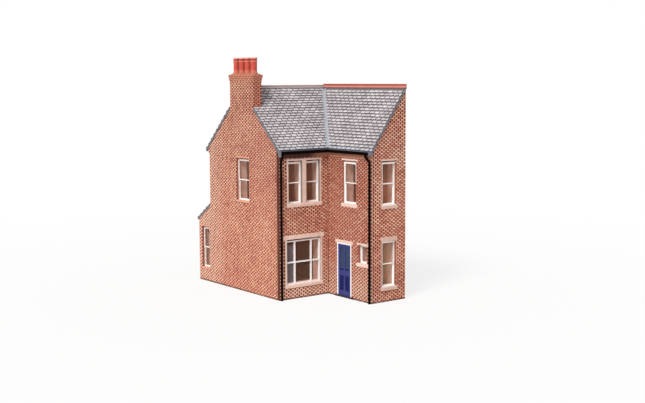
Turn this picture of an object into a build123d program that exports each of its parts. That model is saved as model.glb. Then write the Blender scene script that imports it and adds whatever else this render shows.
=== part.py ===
"""A 1:76 cast-resin model of the house at the end of a brick terrace.

The plan is an L.  The main block faces the street with a window bay of wall, and a wing comes
forward beside it under half of a steep gable, where the next house would carry on.  Left of
the main block is a free gable with the chimney, behind it a lean-to, and the right-hand side is
the plain party face.  The walls are hollow, the windows and doors are cut right through them.

Millimetres.  x runs along the street, y to the back, z up.  The origin is on the ground, under
the middle of the whole model.
"""
import os
from collections import namedtuple
from math import atan2, cos

from build123d import *

os.makedirs("parts", exist_ok=True)

# ---------------------------------------------------------------- driving sizes: plan
main_frontage = 33.3        # free gable to the inner corner
wing_frontage = 24.1        # inner corner to the party face
wing_projection = 37.4      # how far the wing stands forward of the main front
main_depth = 70.8
lean_to_depth = 13.1
wall = 7.0                  # the thick cast walls, seen in every window reveal
lean_to_wall_thickness = 2.8

# ---------------------------------------------------------------- driving sizes: roofs
spring_height = 82.3        # slate face over the outer face of the wall
ridge_rise = 34.0           # both ridges stand this much higher
roof_slab = 1.7             # measured upright, the same on both pitches so that they mitre
rear_eave = 2.8
verge = 0.6
lean_to_gap = 2.6           # rear window sills to the lead over the lean-to
lean_to_fall = 8.9
lean_to_eave = 0.7
lean_to_slab = 1.3
corbel_reach = 1.9          # brickwork stepping out under the rear eave

# ---------------------------------------------------------------- driving sizes: chimney
stack_length = 24.3
stack_thickness = 5.0
stack_rise = 2.2            # plain brickwork above the ridge
corbel_courses = 4
course = 0.975
corbel_step = 0.15
pot_count = 4
pot_pitch = 5.8
pot_diameter = 3.5
pot_bore = 2.5
pot_height = 9.1
rim_reach = 0.25            # both rings stand out this far
rim_height = 0.8
ring_height = 0.5
neck_height = 1.1           # between the rim and the lower ring
ring_slope = 0.2
flaunching = 0.5
collar_height = 0.7         # mortar heaped round the foot of each pot
collar_reach = 0.9
collar_taper = 25

# ---------------------------------------------------------------- driving sizes: joinery
recess = 1.25               # most frames are set back from the wall face this far
gable_recess = 1.25
flush_recess = 0.45         # the wide window and the sash over the door
head_gap = 0.85             # most frames stop this short of their lintel
close_gap = 0.2             # but the wing's lower window and the closet's nearly touch it
front_sash = 9.3            # widths of the openings for sashes
wing_sash = 10.0
return_sash = 10.8
gable_sash = 12.6
lean_to_sash = 8.2
sash_height = 23.4
wing_head_lift = 0.4        # the wing's upper window, above the other heads
gable_sill_drop = 0.6       # the gable's upper window, below the other sills
head_below_slates = 6.3     # upper window heads, below the slates at the wall face
lower_sill = 8.2
wall_between = 19.5         # upper sills to the heads of the windows below
frame_bar = 0.4
sash_bar = 0.5
sash_depth = 0.5
glass = 0.2
mullion = 2.75
wide_width = 23.2
wide_side_light = 5.7
wide_bar = 0.65
door_width = 12.4
door_under_window = 2.75    # door heads, below the heads of the lower windows
step_height = 1.1
door_bar = 0.75
door_proud = 0.2            # the door frame is planted on the face of the wall
door_frame_depth = 1.9
leaf_recess = 0.1
leaf_thickness = 1.0
top_rail = 1.7
lock_rail = 3.0
bottom_rail = 2.6
door_stile = 1.4
lower_panel_height = 8.4
panel_depth = 0.35
closet_width = 7.0
closet_height = 10.0
closet_over_door = 0.7      # its head, above the head of the door

# ---------------------------------------------------------------- driving sizes: where openings are
wide_offset = 0.55          # wide window, left of the middle of the main front
wing_window_offset = 0.25   # the wing's windows, right of the middle of its street end
return_window_offset = 0.5  # sash over the door, streetwards of the middle of its wall
door_side = 14.3            # middle of the door, from the inner corner
closet_gap = 6.3            # door to the little window beside it
lean_to_window_side = 5.5   # middle of the lean-to's flank window, from the rear wall
back_left_side = 16.7       # middles of the rear openings, left and right of the inner corner
back_right_side = 8.0

# ---------------------------------------------------------------- driving sizes: stone
lintel_height = 0.95
door_lintel_height = 1.6
deep_lintel_height = 2.3
sill_height = 1.9
plain_sill_height = 1.1     # sills of the free gable and the back
jamb_width = 1.1
stone_ear = 1.4             # a lintel or sill runs on past the opening
wide_ear = 2.4              # the same for the lintel of the wide window
plain_ear = 0.8             # and for the street end, the free gable and the back
stone_bed = 1.4             # stones are let into the wall this deep
stone_proud = 0.3
sill_proud = 0.55
sill_weathering = 0.4       # fall cut on the outer top edge
step_proud = 0.35
step_ear = 1.8

# ---------------------------------------------------------------- driving sizes: the rest
gutter_width = 2.0
gutter_height = 1.6
gutter_wall = 0.35
pipe_diameter = 1.35
pipe_bend = 1.2
pipe_end_gap = 0.2          # pipe to the corner of the wall
neck_drop = 0.8             # upright stub under the gutter
neck_fall = 2.6             # height of the slanting run
front_neck_side = 0.7       # how far the slanting run goes sideways
wing_neck_side = 2.9
gutter_drop = 0.75          # gutter's brim below the edge of the slates
fascia_height = 2.2         # seen under the gutter
fascia_thickness = 0.3
main_kneeler_drop = 1.3     # the verges' kneelers, below the gutter's foot
wing_kneeler_drop = 0.1
ridge_leg = 2.3
ridge_roll = 0.4
ridge_thickness = 0.3
grey_ridge_leg = 1.3
lead = 0.3
valley_half_width = 1.0
upstand = 1.2
apron = 1.6
floor_thickness = 1.6
upper_floor_drop = 11.2     # below the upper sills
plate_joint = 0.2

# ---------------------------------------------------------------- places worked out from them
cap_oversail = corbel_courses * corbel_step
span_left = main_frontage + cap_oversail
middle_x = (wing_frontage - span_left) / 2
middle_y = (main_depth + lean_to_depth + lean_to_eave - wing_projection - verge) / 2

corner_x = -middle_x                        # the inner corner of the L
main_y = -middle_y                          # the face of the main front
gable_x = corner_x - main_frontage
party_x = corner_x + wing_frontage
wing_y = main_y - wing_projection
rear_y = main_y + main_depth
lean_to_y = rear_y + lean_to_depth
ridge_y = main_y + main_depth / 2

room_left = gable_x + wall
room_right = party_x - wall
room_front = main_y + wall
room_back = rear_y - wall
wing_room_left = corner_x + wall
wing_room_front = wing_y + wall
lean_to_room_back = lean_to_y - lean_to_wall_thickness

main_pitch = ridge_rise / (main_depth / 2)
wing_pitch = ridge_rise / wing_frontage
lean_to_pitch = lean_to_fall / lean_to_depth
front_eave = fascia_thickness               # the slates end over the face of the fascia
wing_eave = front_eave * main_pitch / wing_pitch
ridge_height = spring_height + ridge_rise
stack_height = ridge_height + stack_rise
wall_top = spring_height - roof_slab
upper_head = spring_height - head_below_slates
upper_sill = upper_head - sash_height
lower_head = upper_sill - wall_between
door_head = lower_head - door_under_window
closet_head = door_head + closet_over_door
closet_sill = closet_head - closet_height
lean_to_head = upper_sill - sill_height - upstand - lean_to_gap
upper_floor_height = upper_sill - upper_floor_drop
corbel_foot = upper_head + lintel_height
ridge_reach = ridge_leg * cos(atan2(wing_pitch, 1))
ridge_under = ridge_height - roof_slab
stack_front = ridge_y - stack_length / 2
stack_back = ridge_y + stack_length / 2
stack_inner = gable_x + stack_thickness
stack_foot = wall_top + main_pitch * (stack_front - main_y)
cap_height = stack_height + corbel_courses * course
kneeler_head = spring_height - front_eave * main_pitch
gutter_foot = kneeler_head - gutter_drop - gutter_height
gutter_front_y = main_y - fascia_thickness - gutter_width
gutter_left_x = corner_x - fascia_thickness - gutter_width
fascia_foot = gutter_foot - fascia_height
above_all = 2 * ridge_height                # taller than anything, for cutting right through


# ---------------------------------------------------------------- sketch planes
def facing_street(y):
    """x across and z up; a positive extrusion comes towards the street."""
    return Plane.XZ.offset(-y)


def facing_back(y):
    """-x across and z up; a positive extrusion goes to the back."""
    return Plane(origin=(0, y, 0), x_dir=(-1, 0, 0), z_dir=(0, 1, 0))


def facing_left(x):
    """-y across and z up; a positive extrusion comes out to the left."""
    return Plane(origin=(x, 0, 0), x_dir=(0, -1, 0), z_dir=(-1, 0, 0))


def across(x):
    """y across and z up; a positive extrusion goes to the right."""
    return Plane.YZ.offset(x)


# ---------------------------------------------------------------- openings and stones
# A rectangle on a wall face: from left to right along the face's own x, and from low to high.
Patch = namedtuple("Patch", "left right low high")


def opening(centre, width, sill, head):
    return Patch(centre - width / 2, centre + width / 2, sill, head)


def lintel_over(hole, height, ear):
    return Patch(hole.left - ear, hole.right + ear, hole.high, hole.high + height)


def sill_under(hole, height, ear):
    return Patch(hole.left - ear, hole.right + ear, hole.low - height, hole.low)


def jambs_beside(hole):
    return [Patch(hole.left - jamb_width, hole.left, hole.low, hole.high),
            Patch(hole.right, hole.right + jamb_width, hole.low, hole.high)]


def draw(patches):
    """Rectangles in the sketch that is open."""
    for patch in patches:
        with Locations(((patch.left + patch.right) / 2, (patch.low + patch.high) / 2)):
            Rectangle(patch.right - patch.left, patch.high - patch.low)


# Front of the main block: a pair of sashes between stone posts, and a wide window below
pair_middle = corner_x - main_frontage / 2
pair_step = (front_sash + mullion) / 2
pair_left = opening(pair_middle - pair_step, front_sash, upper_sill, upper_head)
pair_right = opening(pair_middle + pair_step, front_sash, upper_sill, upper_head)
pair = opening(pair_middle, 2 * front_sash + mullion, upper_sill, upper_head)
pair_post = Patch(pair_left.right, pair_right.left, upper_sill, upper_head)
wide = opening(pair_middle - wide_offset, wide_width, lower_sill, lower_head)
front_holes = [pair_left, pair_right, wide]
pair_stones = [lintel_over(pair, lintel_height, stone_ear), pair_post] + jambs_beside(pair)
wide_stones = [lintel_over(wide, deep_lintel_height, wide_ear)] + jambs_beside(wide)
pair_sill = sill_under(pair, sill_height, stone_ear)
wide_sill = sill_under(wide, sill_height, stone_ear)

# Return wall of the wing, which faces left: door, the little window beside it, a sash above
door = opening(door_side - main_y, door_width, step_height, door_head)
closet = opening(door.right + closet_gap + closet_width / 2, closet_width, closet_sill, closet_head)
return_middle = wing_projection / 2 + return_window_offset
return_upper = opening(return_middle - main_y, return_sash, upper_sill, upper_head)
return_holes = [door, closet, return_upper]
return_lintels = [lintel_over(door, door_lintel_height, stone_ear),
                  lintel_over(closet, lintel_height, stone_ear),
                  lintel_over(return_upper, lintel_height, stone_ear)]
return_sills = [sill_under(closet, sill_height, stone_ear),
                sill_under(return_upper, sill_height, stone_ear)]
street_step = Patch(door.left - step_ear, door.right + step_ear, 0, step_height)

# Street end of the wing
wing_middle = corner_x + wing_frontage / 2 + wing_window_offset
wing_upper = opening(wing_middle, wing_sash, upper_sill, upper_head + wing_head_lift)
wing_lower = opening(wing_middle, wing_sash, lower_sill, lower_head)
wing_lintels = [lintel_over(wing_upper, lintel_height, plain_ear),
                lintel_over(wing_lower, deep_lintel_height, plain_ear)]
wing_sills = [sill_under(wing_upper, sill_height, plain_ear),
              sill_under(wing_lower, sill_height, plain_ear)]

# Free gable: a sash high up, and one low down that lights the lean-to
gable_upper = opening(-ridge_y, gable_sash, upper_sill - gable_sill_drop, upper_head)
gable_lower = opening(-(rear_y + lean_to_window_side), lean_to_sash, lower_sill, lower_head)
gable_lintels = [lintel_over(gable_upper, lintel_height, plain_ear),
                 lintel_over(gable_lower, lintel_height, plain_ear)]
gable_sills = [sill_under(gable_upper, plain_sill_height, plain_ear),
               sill_under(gable_lower, plain_sill_height, plain_ear)]

# Back: two sashes over the lean-to, and a door and a sash in it
back_left_middle = back_left_side - corner_x
back_right_middle = -(corner_x + back_right_side)
rear_holes = [opening(back_left_middle, wing_sash, upper_sill, upper_head),
              opening(back_right_middle, wing_sash, upper_sill, upper_head)]
rear_lintels = [lintel_over(hole, lintel_height, plain_ear) for hole in rear_holes]
rear_sills = [sill_under(hole, plain_sill_height, plain_ear) for hole in rear_holes]
back_window = opening(back_left_middle, wing_sash, lower_sill, lower_head)
back_door = opening(back_right_middle, door_width, step_height, door_head)
lean_to_holes = [back_window, back_door]
lean_to_lintels = [lintel_over(back_window, lintel_height, plain_ear),
                   lintel_over(back_door, door_lintel_height, plain_ear)]
lean_to_sills = [sill_under(back_window, plain_sill_height, plain_ear)]
back_step = Patch(back_door.left - step_ear, back_door.right + step_ear, 0, step_height)


# ---------------------------------------------------------------- the mass of the house
# The whole house as one block, up to the underside of its roofs.  Each wall is the part of it
# that lies in that wall's strip of the plan, so every wall top fits the roof over it.
with BuildPart() as mass:
    with BuildSketch(across(gable_x)):
        with BuildLine():
            Polyline((main_y, 0), (main_y, wall_top), (ridge_y, ridge_under),
                     (rear_y + corbel_reach, wall_top - main_pitch * corbel_reach),
                     (rear_y, corbel_foot),
                     (rear_y, 0), close=True)
        make_face()
    extrude(amount=party_x - gable_x)
    with BuildSketch(facing_street(wing_y)):
        with BuildLine():
            Polyline((corner_x, 0), (corner_x, wall_top), (party_x, ridge_under),
                     (party_x, 0), close=True)
        make_face()
    extrude(amount=-(ridge_y - wing_y))
    with BuildSketch(across(gable_x)):
        with BuildLine():
            Polyline((rear_y, 0), (rear_y, lean_to_head - lean_to_slab),
                     (lean_to_y, lean_to_head - lean_to_fall - lean_to_slab),
                     (lean_to_y, 0), close=True)
        make_face()
    extrude(amount=party_x - gable_x)


def wall_strip(*corners):
    """Keep what lies over these corners of the plan, in the part that is open."""
    with BuildSketch(Plane.XY) as plan:
        with BuildLine() as outline:
            Polyline(*corners, close=True)
        make_face(outline.edges())
    extrude(plan.sketch, amount=above_all, mode=Mode.INTERSECT)


def cut_through(face, holes, depth):
    """Openings right through a wall, drawn on its outer face."""
    with BuildSketch(face) as outlines:
        draw(holes)
    extrude(outlines.sketch, amount=-depth, mode=Mode.SUBTRACT)


def bed_stones(face, stones):
    """Pockets in a wall's face that its lintels, sills and jambs fill."""
    with BuildSketch(face) as outlines:
        draw(stones)
    extrude(outlines.sketch, amount=-stone_bed, mode=Mode.SUBTRACT)


def stack_block(left):
    """The block that the chimney stack takes out of the gable and the roofs."""
    with BuildSketch(Plane.XY.offset(stack_foot)) as plan:
        with Locations(((left + stack_inner) / 2, ridge_y)):
            Rectangle(stack_inner - left, stack_length)
    extrude(plan.sketch, amount=stack_height - stack_foot, mode=Mode.SUBTRACT)


def finish(name, part):
    part.label = name
    export_step(part, f"parts/{name}.step")


# ---------------------------------------------------------------- walls
with BuildPart() as gable_wall:
    add(mass.part)
    wall_strip((gable_x, main_y), (room_left, room_front), (room_left, lean_to_room_back),
               (gable_x, lean_to_y))
    cut_through(facing_left(gable_x), [gable_upper, gable_lower], wall)
    cut_through(facing_street(main_y), front_holes, wall)
    bed_stones(facing_left(gable_x), gable_lintels + gable_sills)
    stack_block(gable_x)
finish("gable_wall", gable_wall.part)

with BuildPart() as front_wall:
    add(mass.part)
    wall_strip((gable_x, main_y), (corner_x, main_y), (wing_room_left, room_front),
               (room_left, room_front))
    cut_through(facing_street(main_y), front_holes, wall)
    bed_stones(facing_street(main_y), pair_stones + wide_stones + [pair_sill, wide_sill])
finish("front_wall", front_wall.part)

with BuildPart() as return_wall:
    add(mass.part)
    wall_strip((corner_x, main_y), (corner_x, wing_y), (wing_room_left, wing_room_front),
               (wing_room_left, room_front))
    cut_through(facing_left(corner_x), return_holes, wall)
    bed_stones(facing_left(corner_x), return_lintels + return_sills + [street_step])
finish("return_wall", return_wall.part)

with BuildPart() as wing_gable_wall:
    add(mass.part)
    wall_strip((corner_x, wing_y), (party_x, wing_y), (room_right, wing_room_front),
               (wing_room_left, wing_room_front))
    cut_through(facing_street(wing_y), [wing_upper, wing_lower], wall)
    cut_through(facing_left(corner_x), return_holes, wall)
    bed_stones(facing_street(wing_y), wing_lintels + wing_sills)
finish("wing_gable_wall", wing_gable_wall.part)

with BuildPart() as party_wall:
    add(mass.part)
    wall_strip((party_x, wing_y), (party_x, lean_to_y), (room_right, lean_to_room_back),
               (room_right, wing_room_front))
finish("party_wall", party_wall.part)

with BuildPart() as rear_wall:
    add(mass.part)
    wall_strip((room_left, room_back), (room_right, room_back),
               (room_right, rear_y + corbel_reach), (room_left, rear_y + corbel_reach))
    with BuildSketch(across(room_left)):
        draw([Patch(rear_y, lean_to_y, 0, lean_to_head)])
    extrude(amount=room_right - room_left, mode=Mode.SUBTRACT)
    cut_through(facing_back(rear_y), rear_holes, wall)
    bed_stones(facing_back(rear_y), rear_lintels + rear_sills)
finish("rear_wall", rear_wall.part)

with BuildPart() as lean_to_wall:
    add(mass.part)
    wall_strip((gable_x, lean_to_y), (room_left, lean_to_room_back),
               (room_right, lean_to_room_back), (party_x, lean_to_y))
    cut_through(facing_back(lean_to_y), lean_to_holes, lean_to_wall_thickness)
    bed_stones(facing_back(lean_to_y), lean_to_lintels + lean_to_sills + [back_step])
finish("lean_to_wall", lean_to_wall.part)

# ---------------------------------------------------------------- roofs
# Upright plane through the valley, from the inner corner to where both ridges meet; its
# positive side is the main block's.
valley_plane = Plane(origin=(corner_x, main_y, 0), x_dir=(wing_frontage, main_depth / 2, 0),
                     z_dir=(-main_depth / 2, wing_frontage, 0))


def main_slope_section(low_y, lift, depth):
    """A band of the main front slope, from low_y up to the ridge, as a closed outline."""
    low_z = spring_height + main_pitch * (low_y - main_y) + lift
    with BuildLine() as outline:
        Polyline((low_y, low_z), (ridge_y, ridge_height + lift),
                 (ridge_y, ridge_height + lift - depth), (low_y, low_z - depth), close=True)
    make_face(outline.edges())


def wing_slope_section(low_x, lift, depth):
    """A band of the wing's slope, from low_x up to the ridge over the party face."""
    low_z = spring_height + wing_pitch * (low_x - corner_x) + lift
    with BuildLine() as outline:
        Polyline((low_x, low_z), (party_x, ridge_height + lift),
                 (party_x, ridge_height + lift - depth), (low_x, low_z - depth), close=True)
    make_face(outline.edges())


with BuildPart() as main_roof_front:
    with BuildSketch(across(gable_x - verge)):
        main_slope_section(main_y - front_eave, 0, roof_slab)
    extrude(amount=party_x - gable_x + verge)
    split(bisect_by=valley_plane, keep=Keep.TOP)
    stack_block(gable_x - verge)
    with BuildSketch(across(gable_x - verge)):              # kneeler over the gutter's end
        draw([Patch(gutter_front_y, main_y - front_eave, gutter_foot - main_kneeler_drop,
                    kneeler_head)])
    extrude(amount=verge)
finish("main_roof_front", main_roof_front.part)

with BuildPart() as main_roof_rear:
    tip_z = ridge_height - main_pitch * (main_depth / 2 + rear_eave)
    tip_y = rear_y + rear_eave
    with BuildSketch(across(gable_x - verge)):
        with BuildLine():
            Polyline((ridge_y, ridge_height), (tip_y, tip_z), (tip_y, tip_z - roof_slab),
                     (ridge_y, ridge_under), close=True)
        make_face()
    extrude(amount=party_x - gable_x + verge)
    stack_block(gable_x - verge)
finish("main_roof_rear", main_roof_rear.part)

with BuildPart() as wing_roof:
    with BuildSketch(facing_street(wing_y - verge)):
        wing_slope_section(corner_x - wing_eave, 0, roof_slab)
    extrude(amount=-(ridge_y - wing_y + verge))
    split(bisect_by=valley_plane, keep=Keep.BOTTOM)
    with BuildSketch(facing_street(wing_y - verge)):        # kneeler over the gutter's end
        draw([Patch(gutter_left_x, corner_x - wing_eave, gutter_foot - wing_kneeler_drop,
                    kneeler_head)])
    extrude(amount=-verge)
finish("wing_roof", wing_roof.part)

with BuildPart() as lean_to_roof:
    tip_y = lean_to_y + lean_to_eave
    tip_z = lean_to_head - lean_to_pitch * (lean_to_depth + lean_to_eave)
    with BuildSketch(across(gable_x - verge)):
        with BuildLine():
            Polyline((rear_y, lean_to_head), (tip_y, tip_z), (tip_y, tip_z - lean_to_slab),
                     (rear_y, lean_to_head - lean_to_slab), close=True)
        make_face()
    extrude(amount=party_x - gable_x + verge)
finish("lean_to_roof", lean_to_roof.part)

# Lead in the valley: a band of both slopes, cut to a narrow upright strip along the valley
with BuildPart() as wing_lead:
    with BuildSketch(facing_street(wing_y)):
        wing_slope_section(corner_x - wing_eave, lead, lead)
    extrude(amount=-(ridge_y - wing_y))
    split(bisect_by=valley_plane, keep=Keep.BOTTOM)

with BuildPart() as valley_flashing:
    with BuildSketch(across(gable_x)):
        main_slope_section(main_y - front_eave, lead, lead)
    extrude(amount=party_x - gable_x)
    split(bisect_by=valley_plane, keep=Keep.TOP)
    add(wing_lead.part)
    run = Vector(wing_frontage, main_depth / 2).normalized()
    side = Vector(-run.Y, run.X) * valley_half_width
    low = Vector(corner_x, main_y)
    short = (ridge_reach + run.Y * valley_half_width) / run.X
    high = Vector(party_x, ridge_y) - run * short
    with BuildSketch(Plane.XY):
        with BuildLine():
            Polyline(low + side, high + side, high - side, low - side, close=True)
        make_face()
    extrude(amount=above_all, mode=Mode.INTERSECT)
finish("valley_flashing", valley_flashing.part)

# Lead turned up the rear wall and down over the lean-to roof
with BuildPart() as lean_to_flashing:
    apron_drop = lean_to_pitch * apron
    with BuildSketch(across(gable_x)):
        with BuildLine():
            Polyline((rear_y, lean_to_head), (rear_y, lean_to_head + upstand),
                     (rear_y + lead, lean_to_head + upstand), (rear_y + lead, lean_to_head + lead),
                     (rear_y + apron, lean_to_head + lead - apron_drop),
                     (rear_y + apron, lean_to_head - apron_drop), close=True)
        make_face()
    extrude(amount=party_x - gable_x)
finish("lean_to_flashing", lean_to_flashing.part)

# Terracotta ridge of the wing: one leg down the slope, with a half roll on the party line
with BuildPart() as wing_ridge_tiles:
    leg_foot = ridge_height - wing_pitch * ridge_reach
    cover = ridge_thickness / cos(atan2(wing_pitch, 1))
    with BuildSketch(facing_street(wing_y - verge)):
        with BuildLine():
            Polyline((party_x - ridge_reach, leg_foot), (party_x - ridge_reach, leg_foot + cover),
                     (party_x, ridge_height + cover), (party_x, ridge_height), close=True)
        make_face()
        with Locations((party_x, ridge_height + cover)):
            Circle(ridge_roll)
        with Locations((party_x + ridge_roll, ridge_height + cover)):
            Rectangle(2 * ridge_roll, 4 * ridge_roll, mode=Mode.SUBTRACT)
    extrude(amount=-(ridge_y - wing_y + verge))
    split(bisect_by=valley_plane, keep=Keep.BOTTOM)
finish("wing_ridge_tiles", wing_ridge_tiles.part)

# Plain grey ridge of the main block, from the chimney to the wing's ridge
with BuildPart() as main_ridge_tiles:
    drop = main_pitch * grey_ridge_leg
    with BuildSketch(across(stack_inner)):
        with BuildLine():
            Polyline((ridge_y - grey_ridge_leg, ridge_height - drop),
                     (ridge_y - grey_ridge_leg, ridge_height - drop + ridge_thickness),
                     (ridge_y, ridge_height + ridge_thickness),
                     (ridge_y + grey_ridge_leg, ridge_height - drop + ridge_thickness),
                     (ridge_y + grey_ridge_leg, ridge_height - drop),
                     (ridge_y, ridge_height), close=True)
        make_face()
    extrude(amount=party_x - ridge_reach - stack_inner)
finish("main_ridge_tiles", main_ridge_tiles.part)

# ---------------------------------------------------------------- chimney
with BuildPart() as chimney_stack:
    with BuildSketch(Plane.XY.offset(stack_foot)):
        with Locations(((gable_x + stack_inner) / 2, ridge_y)):
            Rectangle(stack_thickness, stack_length)
    extrude(amount=stack_height - stack_foot)
finish("chimney_stack", chimney_stack.part)

pot_middles = [((gable_x + stack_inner) / 2, ridge_y + (index - (pot_count - 1) / 2) * pot_pitch)
               for index in range(pot_count)]
pot_seat = cap_height + flaunching

with BuildPart() as chimney_cap:
    for index in range(corbel_courses):
        oversail = 2 * (index + 1) * corbel_step
        with BuildSketch(Plane.XY.offset(stack_height + index * course)):
            with Locations(((gable_x + stack_inner) / 2, ridge_y)):
                Rectangle(stack_thickness + oversail, stack_length + oversail)
        extrude(amount=course)
    with BuildSketch(Plane.XY.offset(cap_height)):
        with Locations(((gable_x + stack_inner) / 2, ridge_y)):
            Rectangle(stack_thickness, stack_length)
    extrude(amount=flaunching, taper=45)
    with BuildSketch(Plane.XY.offset(cap_height)):          # mortar heaped round each pot
        with Locations(pot_middles):
            Circle(pot_diameter / 2 + collar_reach)
    extrude(amount=flaunching + collar_height, taper=collar_taper)
    with BuildSketch(Plane.XY.offset(pot_seat)):
        with Locations(pot_middles):
            Circle(pot_diameter / 2)
    extrude(amount=collar_height, mode=Mode.SUBTRACT)
finish("chimney_cap", chimney_cap.part)

with BuildPart() as pot:
    radius = pot_diameter / 2
    rim_low = pot_height - rim_height
    ring_high = rim_low - neck_height
    ring_low = ring_high - ring_height
    with BuildSketch(Plane.XZ):
        with BuildLine():
            Polyline((pot_bore / 2, 0), (radius, 0), (radius, ring_low - ring_slope),
                     (radius + rim_reach, ring_low), (radius + rim_reach, ring_high),
                     (radius, ring_high + ring_slope), (radius, rim_low - ring_slope),
                     (radius + rim_reach, rim_low), (radius + rim_reach, pot_height),
                     (pot_bore / 2, pot_height), close=True)
        make_face()
    revolve(axis=Axis.Z)

with BuildPart() as chimney_pots:
    with Locations([(x, y, pot_seat) for x, y in pot_middles]):
        add(pot.part)
finish("chimney_pots", chimney_pots.part)

# ---------------------------------------------------------------- rainwater goods
with BuildPart() as fascia_boards:
    with BuildSketch(Plane.XY.offset(fascia_foot)):
        with BuildLine():
            Polyline((gable_x, main_y), (corner_x, main_y), (corner_x, wing_y),
                     (corner_x - fascia_thickness, wing_y),
                     (corner_x - fascia_thickness, main_y - fascia_thickness),
                     (gable_x, main_y - fascia_thickness), close=True)
        make_face()
    extrude(amount=wall_top - wing_pitch * fascia_thickness - fascia_foot)
finish("fascia_boards", fascia_boards.part)

with BuildPart() as street_gutter:
    out = fascia_thickness + gutter_width / 2
    with BuildLine():
        Polyline((gable_x, main_y - out, gutter_foot), (corner_x - out, main_y - out, gutter_foot),
                 (corner_x - out, wing_y, gutter_foot))
    with BuildSketch(Plane(origin=(gable_x, main_y - out, gutter_foot), x_dir=(0, 1, 0),
                           z_dir=(1, 0, 0))):
        with BuildLine():
            half = gutter_width / 2
            bed = gutter_height - half
            inner = half - gutter_wall
            Line((-half, gutter_height), (-half, half))
            ThreePointArc((-half, half), (0, 0), (half, half))
            Polyline((half, half), (half, gutter_height), (inner, gutter_height), (inner, half))
            ThreePointArc((inner, half), (0, gutter_wall), (-inner, half))
            Polyline((-inner, half), (-inner, gutter_height), (-half, gutter_height))
        make_face()
    sweep(transition=Transition.RIGHT)
finish("street_gutter", street_gutter.part)


def swan_neck_pipe(outlet, foot):
    """A round pipe from the gutter's outlet, sideways down to the wall and on to the ground."""
    top = (*outlet, gutter_foot)
    with BuildLine() as route:
        FilletPolyline(top, (*outlet, gutter_foot - neck_drop),
                       (*foot, gutter_foot - neck_drop - neck_fall), (*foot, 0), radius=pipe_bend)
    with BuildSketch(Plane(origin=top, z_dir=(0, 0, -1))) as section:
        Circle(pipe_diameter / 2)
    sweep(section.sketch, path=route.wire())


with BuildPart() as front_downpipe:
    pipe_x = gable_x + pipe_diameter / 2 + pipe_end_gap
    outlet_x = pipe_x + front_neck_side
    pipe_y = main_y - pipe_diameter / 2
    outlet_y = main_y - fascia_thickness - gutter_width / 2
    swan_neck_pipe((outlet_x, outlet_y), (pipe_x, pipe_y))
finish("front_downpipe", front_downpipe.part)

with BuildPart() as wing_downpipe:
    pipe_y = wing_y + pipe_diameter / 2 + pipe_end_gap
    outlet_y = pipe_y + wing_neck_side
    pipe_x = corner_x - pipe_diameter / 2
    outlet_x = corner_x - fascia_thickness - gutter_width / 2
    swan_neck_pipe((outlet_x, outlet_y), (pipe_x, pipe_y))
finish("wing_downpipe", wing_downpipe.part)


# ---------------------------------------------------------------- stonework
def set_stones(face, stones, proud):
    """Stones that fill their pockets in the wall and stand a little proud of it."""
    with BuildSketch(face.offset(-stone_bed)) as outlines:
        draw(stones)
    extrude(outlines.sketch, amount=stone_bed + proud)


def set_sills(face, sills):
    """Sills stand further out, and the outer edge of their tops is cut to a fall."""
    for sill in sills:
        with BuildPart(mode=Mode.PRIVATE) as stone:
            set_stones(face, [sill], sill_proud)
            nose = stone.faces().sort_by(Axis(face.origin, face.z_dir))[-1]
            chamfer(nose.edges().sort_by(Axis.Z)[-1], sill_weathering)
        add(stone.part)


with BuildPart() as front_upper_surround:
    set_stones(facing_street(main_y), pair_stones, stone_proud)
    set_sills(facing_street(main_y), [pair_sill])
finish("front_upper_surround", front_upper_surround.part)

with BuildPart() as front_lower_surround:
    set_stones(facing_street(main_y), wide_stones, stone_proud)
    set_sills(facing_street(main_y), [wide_sill])
finish("front_lower_surround", front_lower_surround.part)

with BuildPart() as return_stones:
    set_stones(facing_left(corner_x), return_lintels, stone_proud)
    set_sills(facing_left(corner_x), return_sills)
finish("return_lintels_and_sills", return_stones.part)

with BuildPart() as wing_stones:
    set_stones(facing_street(wing_y), wing_lintels, stone_proud)
    set_sills(facing_street(wing_y), wing_sills)
finish("wing_lintels_and_sills", wing_stones.part)

with BuildPart() as gable_stones:
    set_stones(facing_left(gable_x), gable_lintels, stone_proud)
    set_sills(facing_left(gable_x), gable_sills)
finish("gable_lintels_and_sills", gable_stones.part)

with BuildPart() as rear_stones:
    for face, lintels, sills in ((facing_back(rear_y), rear_lintels, rear_sills),
                                 (facing_back(lean_to_y), lean_to_lintels, lean_to_sills)):
        set_stones(face, lintels, stone_proud)
        set_sills(face, sills)
finish("rear_lintels_and_sills", rear_stones.part)

with BuildPart() as doorsteps:
    set_stones(facing_left(corner_x), [street_step], step_proud)
    set_stones(facing_back(lean_to_y), [back_step], stone_proud)
finish("doorsteps", doorsteps.part)


# ---------------------------------------------------------------- windows
def framed(hole, gap=head_gap):
    """What a frame fills of its opening: all but a narrow gap under the lintel."""
    return hole._replace(high=hole.high - gap)


def inset(patch, margin):
    return Patch(patch.left + margin, patch.right - margin, patch.low + margin, patch.high - margin)


def sash_halves(frame):
    """The upper and the lower sash, which share the height of the meeting rails."""
    inner = inset(frame, frame_bar)
    middle = (inner.low + inner.high) / 2
    return (inner._replace(low=middle - sash_bar / 2), inner._replace(high=middle + sash_bar / 2))


def ring(face, patch, bar, depth):
    """An open frame, from the plane of face inwards."""
    opening_inside = inset(patch, bar)
    with BuildSketch(face) as outline:
        draw([patch])
        with Locations(((patch.left + patch.right) / 2, (patch.low + patch.high) / 2)):
            Rectangle(opening_inside.right - opening_inside.left,
                      opening_inside.high - opening_inside.low, mode=Mode.SUBTRACT)
    extrude(outline.sketch, amount=-depth)


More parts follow.
